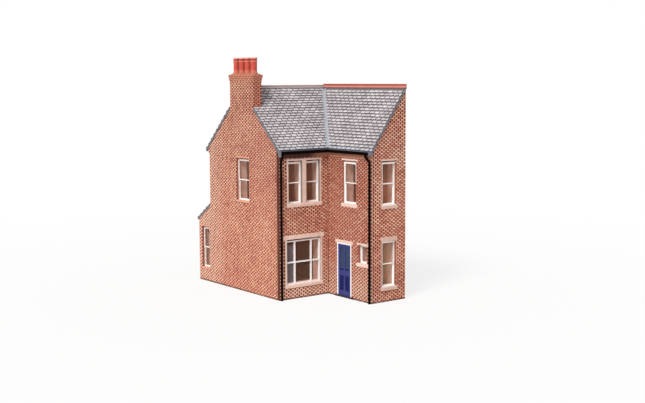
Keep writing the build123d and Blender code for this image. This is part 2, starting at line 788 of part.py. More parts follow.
def sash_window(face, frame, depth):
    """Box frame with the upper sash in front and the lower sash behind it."""
    glazing_face = face.offset(-depth)
    upper, lower = sash_halves(frame)
    ring(glazing_face, frame, frame_bar, 2 * sash_depth)
    ring(glazing_face, upper, sash_bar, sash_depth)
    ring(glazing_face.offset(-sash_depth), lower, sash_bar, sash_depth)


def sash_panes(face, frame, depth):
    """A pane in the middle of each sash."""
    for half, back in zip(sash_halves(frame), (depth, depth + sash_depth)):
        with BuildSketch(face.offset(-back - (sash_depth - glass) / 2)) as pane:
            draw([inset(half, sash_bar)])
        extrude(pane.sketch, amount=-glass)


def pane_behind(face, frame, depth):
    """One sheet of glass against the back of a fixed frame."""
    with BuildSketch(face.offset(-depth - 2 * sash_depth)) as pane:
        draw([frame])
    extrude(pane.sketch, amount=-glass)


def wide_bars(frame):
    """Two posts and a rail that part the wide window into six lights."""
    inner = inset(frame, wide_bar)
    middle = (inner.low + inner.high) / 2
    left_post = frame.left + wide_side_light
    right_post = frame.right - wide_side_light
    return [Patch(left_post, left_post + wide_bar, inner.low, inner.high),
            Patch(right_post - wide_bar, right_post, inner.low, inner.high),
            Patch(inner.left, inner.right, middle - wide_bar / 2, middle + wide_bar / 2)]


pair_frames = [framed(pair_left), framed(pair_right)]
wide_frame = framed(wide)
return_frame = framed(return_upper)
closet_frame = framed(closet, close_gap)
wing_frames = [framed(wing_upper), framed(wing_lower, close_gap)]
gable_frames = [framed(gable_upper), framed(gable_lower)]
rear_frames = [framed(hole) for hole in rear_holes]
back_frame = framed(back_window)

with BuildPart() as front_upper_frames:
    for frame in pair_frames:
        sash_window(facing_street(main_y), frame, recess)
finish("front_upper_frames", front_upper_frames.part)

with BuildPart() as front_lower_frame:
    ring(facing_street(main_y).offset(-flush_recess), wide_frame, wide_bar, 2 * sash_depth)
    with BuildSketch(facing_street(main_y).offset(-flush_recess)) as bars:
        draw(wide_bars(wide_frame))
    extrude(bars.sketch, amount=-2 * sash_depth)
finish("front_lower_frame", front_lower_frame.part)

with BuildPart() as return_window_frames:
    sash_window(facing_left(corner_x), return_frame, flush_recess)
    ring(facing_left(corner_x).offset(-recess), closet_frame, frame_bar + sash_bar,
         2 * sash_depth)
finish("return_window_frames", return_window_frames.part)

with BuildPart() as wing_window_frames:
    for frame in wing_frames:
        sash_window(facing_street(wing_y), frame, recess)
finish("wing_window_frames", wing_window_frames.part)

with BuildPart() as gable_window_frames:
    for frame in gable_frames:
        sash_window(facing_left(gable_x), frame, gable_recess)
finish("gable_window_frames", gable_window_frames.part)

with BuildPart() as rear_window_frames:
    for frame in rear_frames:
        sash_window(facing_back(rear_y), frame, recess)
    sash_window(facing_back(lean_to_y), back_frame, recess)
finish("rear_window_frames", rear_window_frames.part)

with BuildPart() as front_glass:
    for frame in pair_frames:
        sash_panes(facing_street(main_y), frame, recess)
    pane_behind(facing_street(main_y), wide_frame, flush_recess)
finish("front_glass", front_glass.part)

with BuildPart() as wing_glass:
    for frame in wing_frames:
        sash_panes(facing_street(wing_y), frame, recess)
    sash_panes(facing_left(corner_x), return_frame, flush_recess)
    pane_behind(facing_left(corner_x), closet_frame, recess)
finish("wing_glass", wing_glass.part)

with BuildPart() as gable_glass:
    for frame in gable_frames:
        sash_panes(facing_left(gable_x), frame, gable_recess)
finish("gable_glass", gable_glass.part)

with BuildPart() as rear_glass:
    for frame in rear_frames:
        sash_panes(facing_back(rear_y), frame, recess)
    sash_panes(facing_back(lean_to_y), back_frame, recess)
finish("rear_glass", rear_glass.part)


# ---------------------------------------------------------------- doors
def door_jambs(face, hole):
    """Two posts and a head round a door, with no rail at the foot."""
    with BuildSketch(face.offset(door_proud)) as outline:
        draw([hole])
        with Locations(((hole.left + hole.right) / 2, (hole.low + hole.high - door_bar) / 2)):
            Rectangle(hole.right - hole.left - 2 * door_bar, hole.high - door_bar - hole.low,
                      mode=Mode.SUBTRACT)
    extrude(outline.sketch, amount=-door_frame_depth)


def door_leaf(face, hole):
    """A leaf with two tall panels over two short ones, all let into its face."""
    leaf = Patch(hole.left + door_bar, hole.right - door_bar, hole.low, hole.high - door_bar)
    front = face.offset(-leaf_recess)
    with BuildSketch(front) as slab:
        draw([leaf])
    extrude(slab.sketch, amount=-leaf_thickness)
    panel_width = (leaf.right - leaf.left - 3 * door_stile) / 2
    lower_low = leaf.low + bottom_rail
    upper_low = lower_low + lower_panel_height + lock_rail
    with BuildSketch(front) as panels:
        for left in (leaf.left + door_stile, leaf.right - door_stile - panel_width):
            draw([Patch(left, left + panel_width, lower_low, lower_low + lower_panel_height),
                  Patch(left, left + panel_width, upper_low, leaf.high - top_rail)])
    extrude(panels.sketch, amount=-panel_depth, mode=Mode.SUBTRACT)


with BuildPart() as street_door_frame:
    door_jambs(facing_left(corner_x), door)
finish("street_door_frame", street_door_frame.part)

with BuildPart() as street_door:
    door_leaf(facing_left(corner_x), door)
finish("street_door", street_door.part)

with BuildPart() as back_door_frame:
    door_jambs(facing_back(lean_to_y), back_door)
finish("back_door_frame", back_door_frame.part)

with BuildPart() as back_door_leaf:
    door_leaf(facing_back(lean_to_y), back_door)
finish("back_door", back_door_leaf.part)

# ---------------------------------------------------------------- floors
# The wing's plate is dropped in by itself, a hair short of the main one.
main_plate = Patch(room_left, room_right, room_front, room_back)
wing_plate = Patch(wing_room_left, room_right, wing_room_front, room_front - plate_joint)
lean_to_plate = Patch(room_left, room_right, rear_y, lean_to_room_back)

with BuildPart() as ground_floor:
    with BuildSketch(Plane.XY):
        draw([main_plate, wing_plate, lean_to_plate])
    extrude(amount=floor_thickness)
finish("ground_floor", ground_floor.part)

with BuildPart() as upper_floor:
    with BuildSketch(Plane.XY.offset(upper_floor_height)):
        draw([main_plate, wing_plate])
    extrude(amount=floor_thickness)
finish("upper_floor", upper_floor.part)
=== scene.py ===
# %% [markdown]
# # A model end-of-terrace house in cast resin
#
# The solids of the house, walls, roofs, windows and gutters, come packed from the CAD model and
# stay where they are. This lesson dresses them: bricks, slates and tiles are laid over the plain
# walls and roofs, and every solid gets the painted finish of a small model railway building.

# %% Load the solids
import math
from collections import namedtuple

import bpy
import numpy as np
from mathutils import Matrix, Vector
from mathutils.bvhtree import BVHTree


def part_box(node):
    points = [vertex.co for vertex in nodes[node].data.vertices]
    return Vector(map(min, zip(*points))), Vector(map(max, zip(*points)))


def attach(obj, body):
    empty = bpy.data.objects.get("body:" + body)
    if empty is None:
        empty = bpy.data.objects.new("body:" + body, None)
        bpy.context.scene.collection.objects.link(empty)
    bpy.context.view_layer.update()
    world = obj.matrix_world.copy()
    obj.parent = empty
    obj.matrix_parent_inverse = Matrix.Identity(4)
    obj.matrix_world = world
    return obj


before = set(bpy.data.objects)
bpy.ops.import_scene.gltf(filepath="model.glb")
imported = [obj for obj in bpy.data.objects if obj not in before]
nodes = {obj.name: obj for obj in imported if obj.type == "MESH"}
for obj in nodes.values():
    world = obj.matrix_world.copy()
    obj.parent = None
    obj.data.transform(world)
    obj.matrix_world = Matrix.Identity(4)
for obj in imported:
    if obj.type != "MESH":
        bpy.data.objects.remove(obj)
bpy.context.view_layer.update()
bpy.ops.object.select_all(action="DESELECT")
chance = np.random.default_rng(76)
MM = 0.001

# %% [markdown]
# ## Places
#
# Nothing is measured twice. The faces of the walls and the lines of the roofs are read from the
# CAD solids, so that a change of size in the CAD model carries the dressing along.

# %% Faces of the house, in metres
wing_low, wing_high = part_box("wing_gable_wall")
front_low, front_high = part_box("front_wall")
stack_low, stack_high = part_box("chimney_stack")
lean_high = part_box("lean_to_wall")[1]

GABLE_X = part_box("gable_wall")[0].x
PARTY_X = wing_high.x
CORNER_X = wing_low.x
WING_Y = wing_low.y
MAIN_Y = front_low.y
LEAN_Y = lean_high.y
RIDGE_Y = (stack_low.y + stack_high.y) / 2
REAR_Y = 2 * RIDGE_Y - MAIN_Y
WALLS_TOP = front_high.z
print("gable", GABLE_X, "corner", CORNER_X, "party", PARTY_X)
print("wing", WING_Y, "main", MAIN_Y, "rear", REAR_Y, "lean-to", LEAN_Y)

# %% [markdown]
# ## Finding the bare wall
#
# A bricklayer stops at an opening, at a stone and under the roof. The same is done here with
# rays: each course of bricks is tested along its length, and it runs wherever a ray from far
# outside meets the wanted solid, right on the face. A face is given by a corner, the way along,
# the way up and the way out.

# %% A face, and the runs on it where it is bare
Face = namedtuple("Face", "corner along up out width height")

HIDDEN_FROM_RAYS = ("street_gutter", "front_downpipe", "wing_downpipe", "fascia_boards",
                    "lean_to_flashing")
RAY_START = 0.3
ON_THE_FACE = 0.04 * MM
RAY_STEP = 0.4 * MM
FIRST_RAY = RAY_STEP / 8
HALVINGS = 6


def joined_solids(names):
    """One search tree of these solids, and the name behind each of its faces."""
    points, triangles, owners = [], [], []
    for name in names:
        first = len(points)
        mesh = nodes[name].data
        points += [vertex.co.copy() for vertex in mesh.vertices]
        triangles += [[first + i for i in face.vertices] for face in mesh.polygons]
        owners += [name] * len(mesh.polygons)
    return BVHTree.FromPolygons(points, triangles), owners


tree, owners = joined_solids([name for name in sorted(nodes) if name not in HIDDEN_FROM_RAYS])


def is_bare(face, along, up, wanted):
    """Whether a ray from far outside meets one of the wanted solids on this face."""
    target = face.corner + face.along * along + face.up * up
    place, _, index, _ = tree.ray_cast(target + face.out * RAY_START, -face.out)
    if place is None or owners[index] not in wanted:
        return False
    return abs((place - target).dot(face.out)) < ON_THE_FACE


def edge_between(face, up, wanted, low, high, low_is_bare):
    """Where the bare wall starts or ends between two tested places."""
    for _ in range(HALVINGS):
        middle = (low + high) / 2
        if is_bare(face, middle, up, wanted) == low_is_bare:
            low = middle
        else:
            high = middle
    return (low + high) / 2


def bare_runs(face, up, wanted):
    """The stretches of one line along the face where the wanted solids are bare."""
    places = np.arange(FIRST_RAY, face.width, RAY_STEP)
    runs, start, before = [], None, False
    for place in places:
        now = is_bare(face, place, up, wanted)
        if now != before:
            edge = edge_between(face, up, wanted, max(place - RAY_STEP, 0), place, before)
            if now:
                start = edge
            else:
                runs.append((start, edge))
        before = now
    if before:
        runs.append((start, face.width))
    return runs


def merged(runs):
    """Overlapping stretches joined into one."""
    whole = []
    for start, end in sorted(runs):
        if whole and start <= whole[-1][1]:
            whole[-1] = (whole[-1][0], max(end, whole[-1][1]))
        else:
            whole.append((start, end))
    return whole


# %% [markdown]
# ## One brick
#
# The bricks of the casting are low cushions with sloping sides, parted by sunk joints. One is
# made from a cube: its back is taken off, because it would never be seen, and its front is
# drawn in to slope the sides. Thousands of times repeated, five faces are enough.

# %% Hands for working on a mesh
def work_on(piece):
    """Make this the one selected object, in edit mode, with nothing in it selected."""
    bpy.ops.object.select_all(action="DESELECT")
    piece.select_set(True)
    bpy.context.view_layer.objects.active = piece
    bpy.ops.object.mode_set(mode="EDIT")
    bpy.ops.mesh.select_mode(type="FACE")
    bpy.ops.mesh.select_all(action="DESELECT")


def choose_faces(piece, wanted):
    """Select the faces for which wanted(centre, normal) is true."""
    bpy.ops.mesh.select_all(action="DESELECT")
    bpy.ops.object.mode_set(mode="OBJECT")
    for face in piece.data.polygons:
        face.select = wanted(face.center, face.normal)
    bpy.ops.object.mode_set(mode="EDIT")


def put_down(piece):
    """Leave edit mode, with nothing selected."""
    bpy.ops.object.mode_set(mode="OBJECT")
    bpy.ops.object.select_all(action="DESELECT")
    return piece


def block(name, low, high):
    """A cube between two corners, with its place in its mesh."""
    bpy.ops.mesh.primitive_cube_add(size=1, location=(Vector(low) + Vector(high)) / 2)
    piece = bpy.context.object
    piece.name = name
    piece.scale = Vector(high) - Vector(low)
    bpy.ops.object.transform_apply(location=True, rotation=True, scale=True)
    return piece


# %% Model the brick
BRICK_PITCH = 2.88 * MM
COURSE = 0.975 * MM
BED = 0.15 * MM
PERPEND = 0.78 * MM
BRICK_PROUD = 0.14 * MM
END_SLOPE = 0.12 * MM
BED_SLOPE = 0.03 * MM
BRICK_LENGTH = BRICK_PITCH - PERPEND
BRICK_HEIGHT = COURSE - BED

brick = block("brick", (0, 0, -BRICK_PROUD), (BRICK_LENGTH, BRICK_HEIGHT, BRICK_PROUD))
work_on(brick)
choose_faces(brick, lambda centre, normal: normal.z < -0.5)
bpy.ops.mesh.delete(type="FACE")
choose_faces(brick, lambda centre, normal: normal.z > 0.5)
bpy.ops.transform.resize(value=(1 - 2 * END_SLOPE / BRICK_LENGTH,
                                1 - 2 * BED_SLOPE / BRICK_HEIGHT, 1))
put_down(brick)
print("a brick has", len(brick.data.polygons), "faces")

# %% [markdown]
# ## Laying
#
# A laid brick is the model brick moved to its place. Where a run ends it is cut to what is
# left: its left half keeps to the left end and its right half to the right end, so that the
# slope of its sides stays the same. All the bricks of a wall are joined in one mesh, which is far
# lighter than an object each. Every brick gets a number by chance, kept on its points under the
# name tint, and the finishes use it to fire no two bricks alike. A second one, height, says how
# high a point stands over the wall, so that the joints can be washed in darker. Some bricks also
# stand a little prouder than others, as chance has it.

# %% Join many copies of a small piece
MOST_SPREADS = 2.5


def shape_of(piece):
    """The points and the faces of a small piece, as arrays."""
    points = np.array([vertex.co[:] for vertex in piece.data.vertices])
    return points, [list(face.vertices) for face in piece.data.polygons]


def lay(name, piece, face, places, spread):
    """One mesh of copies of a piece, each cut to (left, right, low, high) on the face."""
    tints = chance.random(len(places))
    most = MOST_SPREADS * spread
    lift = 1 + chance.normal(0, spread, len(places)).clip(-most, most)
    points, faces = shape_of(piece)
    size = points.max(0)
    middle = (points.max(0) + points.min(0)) / 2
    left, right, low, high = (column[:, None] for column in np.array(places).T)
    along = np.where(points[:, 0] < middle[0], left + points[:, 0], right - size[0] + points[:, 0])
    up = np.where(points[:, 1] < middle[1], low + points[:, 1], high - size[1] + points[:, 1])
    out = points[:, 2] * lift[:, None]
    axes = np.array([face.along, face.up, face.out])
    laid = np.array(face.corner) + np.stack([along, up, out], -1) @ axes
    first = np.arange(len(places)) * len(points)
    corners = [[start + i for i in corner] for start in first.tolist() for corner in faces]
    mesh = bpy.data.meshes.new(name)
    mesh.from_pydata(laid.reshape(-1, 3).tolist(), [], corners)
    tint = mesh.attributes.new("tint", "FLOAT", "POINT")
    tint.data.foreach_set("value", np.repeat(tints, len(points)).astype(np.float32))
    height = mesh.attributes.new("height", "FLOAT", "POINT")
    heights = np.tile((points[:, 2] / size[2]).clip(0, 1), len(places))
    height.data.foreach_set("value", heights.astype(np.float32))
    result = bpy.data.objects.new(name, mesh)
    bpy.context.collection.objects.link(result)
    print(name, len(places), "laid")
    return result


def join(name, pieces):
    """Several meshes joined in one object."""
    bpy.ops.object.select_all(action="DESELECT")
    for piece in pieces:
        piece.select_set(True)
    bpy.context.view_layer.objects.active = pieces[0]
    bpy.ops.object.join()
    pieces[0].name = name
    bpy.ops.object.select_all(action="DESELECT")
    return pieces[0]


# %% Lay the courses of a face
SHORTEST_BRICK = 0.45 * MM
BRICK_SPREAD = 0.16
SLIVER = 0.01


def in_bond(runs, row, pitch, joint):
    """The two ends of each piece of a row in half bond, cut to the runs."""
    shift = (row % 2) * pitch / 2
    for start, end in runs:
        number = math.floor((start - shift) / pitch)
        while number * pitch + shift < end:
            left = number * pitch + shift + joint / 2
            yield max(left, start), min(left + pitch - joint, end)
            number += 1


def lay_bricks(name, face, wanted, first_row=0):
    """Courses of bricks from the foot of a face to its top."""
    places = []
    for row in range(math.ceil(face.height / COURSE - SLIVER)):
        low = row * COURSE + BED / 2
        high = low + BRICK_HEIGHT
        runs = merged(bare_runs(face, low, wanted) + bare_runs(face, high, wanted))
        places += [(left, right, low, high)
                   for left, right in in_bond(runs, row + first_row, BRICK_PITCH, PERPEND)
                   if right - left > SHORTEST_BRICK]
    return lay(name, brick, face, places, BRICK_SPREAD)


# %% [markdown]
# ## The walls
#
# Each wall of the house is one piece of brickwork. The chimney's outer side goes on from the
# gable without a break, so both solids are wanted there. The party face was never meant to be
# seen, and stays plain.

# %% Brickwork of the walls
X, Y, Z = Vector((1, 0, 0)), Vector((0, 1, 0)), Vector((0, 0, 1))
LEFT, RIGHT, STREET, BACK = -X, X, -Y, Y


def upright(out, level, least, most, foot, top):
    """An upright face that looks out at a level of x or y, from least to most along the wall."""
    along = Z.cross(out)
    start = least if along.x + along.y > 0 else most
    corner = Vector((level, start, foot)) if out.x else Vector((start, level, foot))
    return Face(corner, along, Z, out, most - least, top - foot)


brickwork = [
    lay_bricks("gable_bricks", upright(LEFT, GABLE_X, MAIN_Y, LEAN_Y, 0, stack_high.z),
               ("gable_wall", "chimney_stack")),
    lay_bricks("front_bricks", upright(STREET, MAIN_Y, GABLE_X, CORNER_X, 0, WALLS_TOP),
               ("front_wall", "gable_wall")),
    lay_bricks("return_bricks", upright(LEFT, CORNER_X, WING_Y, MAIN_Y, 0, WALLS_TOP),
               ("return_wall", "wing_gable_wall")),
    lay_bricks("wing_bricks", upright(STREET, WING_Y, CORNER_X, PARTY_X, 0, wing_high.z),
               ("wing_gable_wall", "return_wall", "party_wall")),
    lay_bricks("rear_bricks", upright(BACK, REAR_Y, GABLE_X, PARTY_X, 0, WALLS_TOP),
               ("rear_wall", "gable_wall", "party_wall")),
    lay_bricks("lean_to_bricks", upright(BACK, LEAN_Y, GABLE_X, PARTY_X, 0, lean_high.z),
               ("lean_to_wall", "gable_wall", "party_wall")),
]

# %% [markdown]
# ## The chimney
#
# Three sides of the stack stand clear of the roof. The cap is corbelled: every course is a little
# larger than the one under it, so each is a face of its own.

# %% Brickwork of the chimney
CAP_COURSES = 4
CAP_STEP = 0.15 * MM


def stack_sides(reach, foot, top):
    """The four faces of the stack, or of a course of its cap that stands out this far."""
    left, right = stack_low.x - reach, stack_high.x + reach
    front, back = stack_low.y - reach, stack_high.y + reach
    return (upright(LEFT, left, front, back, foot, top),
            upright(STREET, front, left, right, foot, top),
            upright(RIGHT, right, front, back, foot, top),
            upright(BACK, back, left, right, foot, top))


rows_below = round(stack_low.z / COURSE)
stack_faces = stack_sides(0, rows_below * COURSE, stack_high.z)
chimney_parts = [lay_bricks(f"stack_side_{number}", face, ("chimney_stack",), rows_below)
                 for number, face in enumerate(stack_faces[1:])]
for course in range(CAP_COURSES):
    foot = stack_high.z + course * COURSE
    for number, face in enumerate(stack_sides((course + 1) * CAP_STEP, foot, foot + COURSE)):
        chimney_parts.append(lay_bricks(f"cap_{course}_{number}", face, ("chimney_cap",), course))
brickwork.append(join("chimney_bricks", chimney_parts))

# %% [markdown]
# ## One slate
#
# A slate is a thin wedge: its tail stands up over the row below, and its head is covered by the
# row above. It is made from a cube, whose head end is pressed flat. The slates lie in half bond
# like the bricks, so the same rays and the same laying serve for them.

# %% Model the slate
SLATE_PITCH = 3.95 * MM
GAUGE = 1.96 * MM
SLATE_JOINT = 0.5 * MM
SLATE_PROUD = 0.36 * MM
SLATE_HEAD = 0.12

slate = block("slate", (0, 0, -SLATE_PROUD), (SLATE_PITCH - SLATE_JOINT, GAUGE, SLATE_PROUD))
work_on(slate)
choose_faces(slate, lambda centre, normal: normal.z < -0.5)
bpy.ops.mesh.delete(type="FACE")
choose_faces(slate, lambda centre, normal: normal.y > 0.5)
bpy.ops.transform.resize(value=(1, 1, SLATE_HEAD), center_override=(0, 0, 0))
put_down(slate)
print("a slate has", len(slate.data.polygons), "faces")

# %% [markdown]
# ## The roofs
#
# A slope is a face that leans. It is read from the slab's upper side, which is known by the way
# its faces point: upwards, and away from the ridge. No slate lies quite square, so each one slips
# a little by chance. In the valley both slopes are cut along the lead by a plane, as a slater cuts
# them with a knife.

# %% Slate the slopes
VALLEY_HALF = 0.45 * MM
SHORTEST_SLATE = 0.5 * MM
SLATE_SPREAD = 0.12
SLATE_SLIP = 0.04 * MM
LEANING = 0.3


def slope(node, along, uphill):
    """The upper side of a roof slab as a face, with its corner low down and left."""
    mesh = nodes[node].data
    leaning = [face for face in mesh.polygons
               if face.normal.z > LEANING and face.normal.dot(uphill) < -LEANING]
    points = [mesh.vertices[index].co for face in leaning for index in face.vertices]
    lowest = min(points, key=lambda point: point.dot(uphill))
    highest = max(points, key=lambda point: point.dot(uphill))
    start = min(point.dot(along) for point in points)
    reach = max(point.dot(along) for point in points) - start
    rise = highest.z - lowest.z
    run = (highest - lowest).dot(uphill)
    length = math.hypot(run, rise)
    up = (uphill * run + Z * rise) / length
    out = (Z * run - uphill * rise) / length
    corner = along * start + uphill * lowest.dot(uphill) + Z * lowest.z
    return Face(corner, along, up, out, reach, length)


def lay_slates(name, face, wanted):
    """Rows of slates in half bond, from the eave to the ridge."""
    places = []
    for row in range(math.ceil(face.height / GAUGE)):
        low = row * GAUGE
        runs = bare_runs(face, min(low + GAUGE / 2, face.height - ON_THE_FACE), wanted)
        for left, right in in_bond(runs, row, SLATE_PITCH, SLATE_JOINT):
            slip = chance.normal(0, SLATE_SLIP)
            if right - left > SHORTEST_SLATE:
                places.append((left, right, low + slip, min(low + GAUGE, face.height)))
    return lay(name, slate, face, places, SLATE_SPREAD)


def cut_away(piece, point, side):
    """Cut a piece by a plane, and keep the part that the plane's arrow points to."""
    work_on(piece)
    bpy.ops.mesh.select_all(action="SELECT")
    bpy.ops.mesh.bisect(plane_co=point, plane_no=side, clear_inner=True)
    return put_down(piece)


front_slope = slope("main_roof_front", X, Y)
wing_slope = slope("wing_roof", -Y, X)
rear_slope = slope("main_roof_rear", -X, -Y)
lean_slope = slope("lean_to_roof", -X, -Y)
slates = [
    lay_slates("front_slates", front_slope, ("main_roof_front", "valley_flashing")),
    lay_slates("wing_slates", wing_slope, ("wing_roof", "valley_flashing")),
    lay_slates("rear_slates", rear_slope, ("main_roof_rear",)),
    lay_slates("lean_to_slates", lean_slope, ("lean_to_roof",)),
]

# %% Cut the slates along the valley
down_valley = Vector((PARTY_X - CORNER_X, RIDGE_Y - MAIN_Y, 0)).normalized()
to_main = Vector((-down_valley.y, down_valley.x, 0))
inner_corner = Vector((CORNER_X, MAIN_Y, 0))
cut_away(slates[0], inner_corner + to_main * VALLEY_HALF, to_main)
cut_away(slates[1], inner_corner - to_main * VALLEY_HALF, -to_main)
for piece in brickwork + slates:
    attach(piece, "root")
for model in (brick, slate):
    bpy.data.objects.remove(model)
print(sum(len(piece.data.polygons) for piece in brickwork + slates), "faces laid")

# %% [markdown]
# ## Staff beads
#
# On the wing and over the street door the sash boxes are set nearly flush, and a white bead
# covers their edge. It is a thin frame: a rectangle is inset, its middle is taken out, and the
# ring is drawn inwards to the sash box. The wing's beads lack their right-hand side, and the one
# over the street door has that side alone.

# %% Beads round the sash boxes
BEAD = 0.45 * MM
BEAD_SET_BACK = 0.08 * MM
STREET_BEAD = 1.1 * MM
LEAST_WALL_BETWEEN = 14 * MM


def storeys(node):
    """Foot and head of each window of a node, one over the other."""
    heights = sorted({vertex.co.z for vertex in nodes[node].data.vertices})
    feet = [heights[0]] + [high for low, high in zip(heights, heights[1:])
                           if high - low > LEAST_WALL_BETWEEN]
    heads = [low for low, high in zip(heights, heights[1:])
             if high - low > LEAST_WALL_BETWEEN] + [heights[-1]]
    return list(zip(feet, heads))


def staff_bead(name, face, depth, thickness, far_side_alone=False):
    """White strips round a face, reaching depth inwards: all but the far side, or that alone."""
    bpy.ops.object.select_all(action="DESELECT")
    bpy.ops.mesh.primitive_plane_add(size=1)
    bead = bpy.context.object
    bead.name = name
    axes = Matrix((face.along, face.up, face.out)).transposed().to_4x4()
    middle = face.corner + face.along * face.width / 2 + face.up * face.height / 2
    size = Matrix.Diagonal((face.width, face.height, 1, 1))
    bead.matrix_world = Matrix.Translation(middle) @ axes @ size
    bpy.ops.object.transform_apply(location=True, rotation=True, scale=True)
    work_on(bead)
    bpy.ops.mesh.select_all(action="SELECT")
    bpy.ops.mesh.inset(thickness=thickness)
    bpy.ops.mesh.delete(type="FACE")
    far_side = face.corner.dot(face.along) + face.width - thickness
    choose_faces(bead, lambda centre, normal:
                 (centre.dot(face.along) > far_side) != far_side_alone)
    bpy.ops.mesh.delete(type="FACE")
    bpy.ops.mesh.select_all(action="SELECT")
    bpy.ops.mesh.extrude_region_move(TRANSFORM_OT_translate={"value": -face.out * depth})
    bpy.ops.mesh.select_all(action="SELECT")
    bpy.ops.mesh.normals_make_consistent(inside=False)
    return put_down(bead)


wing_frames_low, wing_frames_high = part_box("wing_window_frames")
beads = []
for number, (foot, head) in enumerate(storeys("wing_window_frames")):
    face = upright(STREET, WING_Y + BEAD_SET_BACK, wing_frames_low.x, wing_frames_high.x,
                   foot, head)
    depth = wing_frames_low.y - WING_Y - BEAD_SET_BACK
    beads.append(staff_bead(f"wing_bead_{number}", face, depth, BEAD))
return_frames_low, return_frames_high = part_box("return_window_frames")
foot, head = storeys("return_window_frames")[-1]
face = upright(LEFT, CORNER_X + BEAD_SET_BACK, return_frames_low.y, return_frames_high.y,
               foot, head)
depth = return_frames_low.x - CORNER_X - BEAD_SET_BACK
beads.append(staff_bead("return_bead", face, depth, STREET_BEAD, far_side_alone=True))
staff_beads = join("staff_beads", beads)
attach(staff_beads, "root")
print(len(staff_beads.data.polygons), "faces of beads")

# %% [markdown]
# ## Writing finishes
#
# A finish is a tree of shader nodes. It could be drawn by hand in the node editor, but more than
# thirty of them are wanted here, and many share the same few ideas: a cloud of noise, a soft
# step, a mix of two colours. So the trees are written, with a small class that lets shader sums
# be written like ordinary sums.
#
# Shaders work with linear light, while a colour is judged on the usual scale of 0 to 255.
# One function turns the second into the first.

# %% Colours
def paint(red, green, blue):
    """A colour on the 0 to 255 scale, as the linear one that shaders use."""
    straight = [value / 255 for value in (red, green, blue)]
    return tuple(v / 12.92 if v <= 0.04045 else ((v + 0.055) / 1.055) ** 2.4
                 for v in straight) + (1.0,)


print("middle grey is", paint(128, 128, 128)[0])

# %% [markdown]
# ## Sums of shader values
#
# A value is one output of one node. Its operators add Math nodes, in either order, so that 1 -
# cloud works as well as cloud - 1. Comparing two values gives 1 or 0, which serves as a mask:
# masks are multiplied where both must hold, and the higher is taken where either will do.

# %% A value with operators
def plug(tree, entry, value):
    """Link a value to an entry, or set the entry to a number or colour."""
    if isinstance(value, Value):
        tree.links.new(value.socket, entry)
    else:
        entry.default_value = value


class Value:
    """One output of a shader node, with Python's operators."""

    def __init__(self, tree, socket):
        self.tree = tree
        self.socket = socket

    def maths(self, operation, first, second):
        node = self.tree.nodes.new("ShaderNodeMath")
        node.operation = operation
        plug(self.tree, node.inputs[0], first)
        plug(self.tree, node.inputs[1], second)
        return Value(self.tree, node.outputs[0])

    def __add__(self, other):
        return self.maths("ADD", self, other)

    def __radd__(self, other):
        return self.maths("ADD", other, self)

    def __sub__(self, other):
        return self.maths("SUBTRACT", self, other)

    def __rsub__(self, other):
        return self.maths("SUBTRACT", other, self)

    def __mul__(self, other):
        return self.maths("MULTIPLY", self, other)

    def __rmul__(self, other):
        return self.maths("MULTIPLY", other, self)

    def __truediv__(self, other):
        return self.maths("DIVIDE", self, other)

    def __gt__(self, other):
        return self.maths("GREATER_THAN", self, other)

    def __lt__(self, other):
        return self.maths("LESS_THAN", self, other)

    def high(self, other):
        """The higher of two values."""
        return self.maths("MAXIMUM", self, other)


# %% [markdown]
# ## A finish
#
# A finish owns a material and knows the place on the object in metres, so that a joint of 1 mm is
# written as 1 mm. One function adds any other node: it takes the type, the settings, which must be
# set first because they change a node's entries, and the entries.
#
# Painted resin has hardly any shine. A value that is the same all over goes straight into the
# shader's own entry, and only what changes over the surface is linked.

# %% Add a node
def set_stops(ramp, stops):
    """Give a ramp its colours, as (place, colour) stops."""
    for _ in stops[2:]:
        ramp.elements.new(0.5)
    for element, (place, colour) in zip(ramp.elements, stops):
        element.position = place
        element.color = colour


def add_node(tree, kind, settings=None, output=0, entries=None, **named):
    """Add a node: its settings first, then the values or links of its entries."""
    node = tree.nodes.new(kind)
    for setting, value in (settings or {}).items():
        if setting == "stops":
            set_stops(node.color_ramp, value)
        else:
            setattr(node, setting, value)
    for entry, value in list((entries or {}).items()) + list(named.items()):
        plug(tree, node.inputs[entry], value)
    return Value(tree, node.outputs[output])


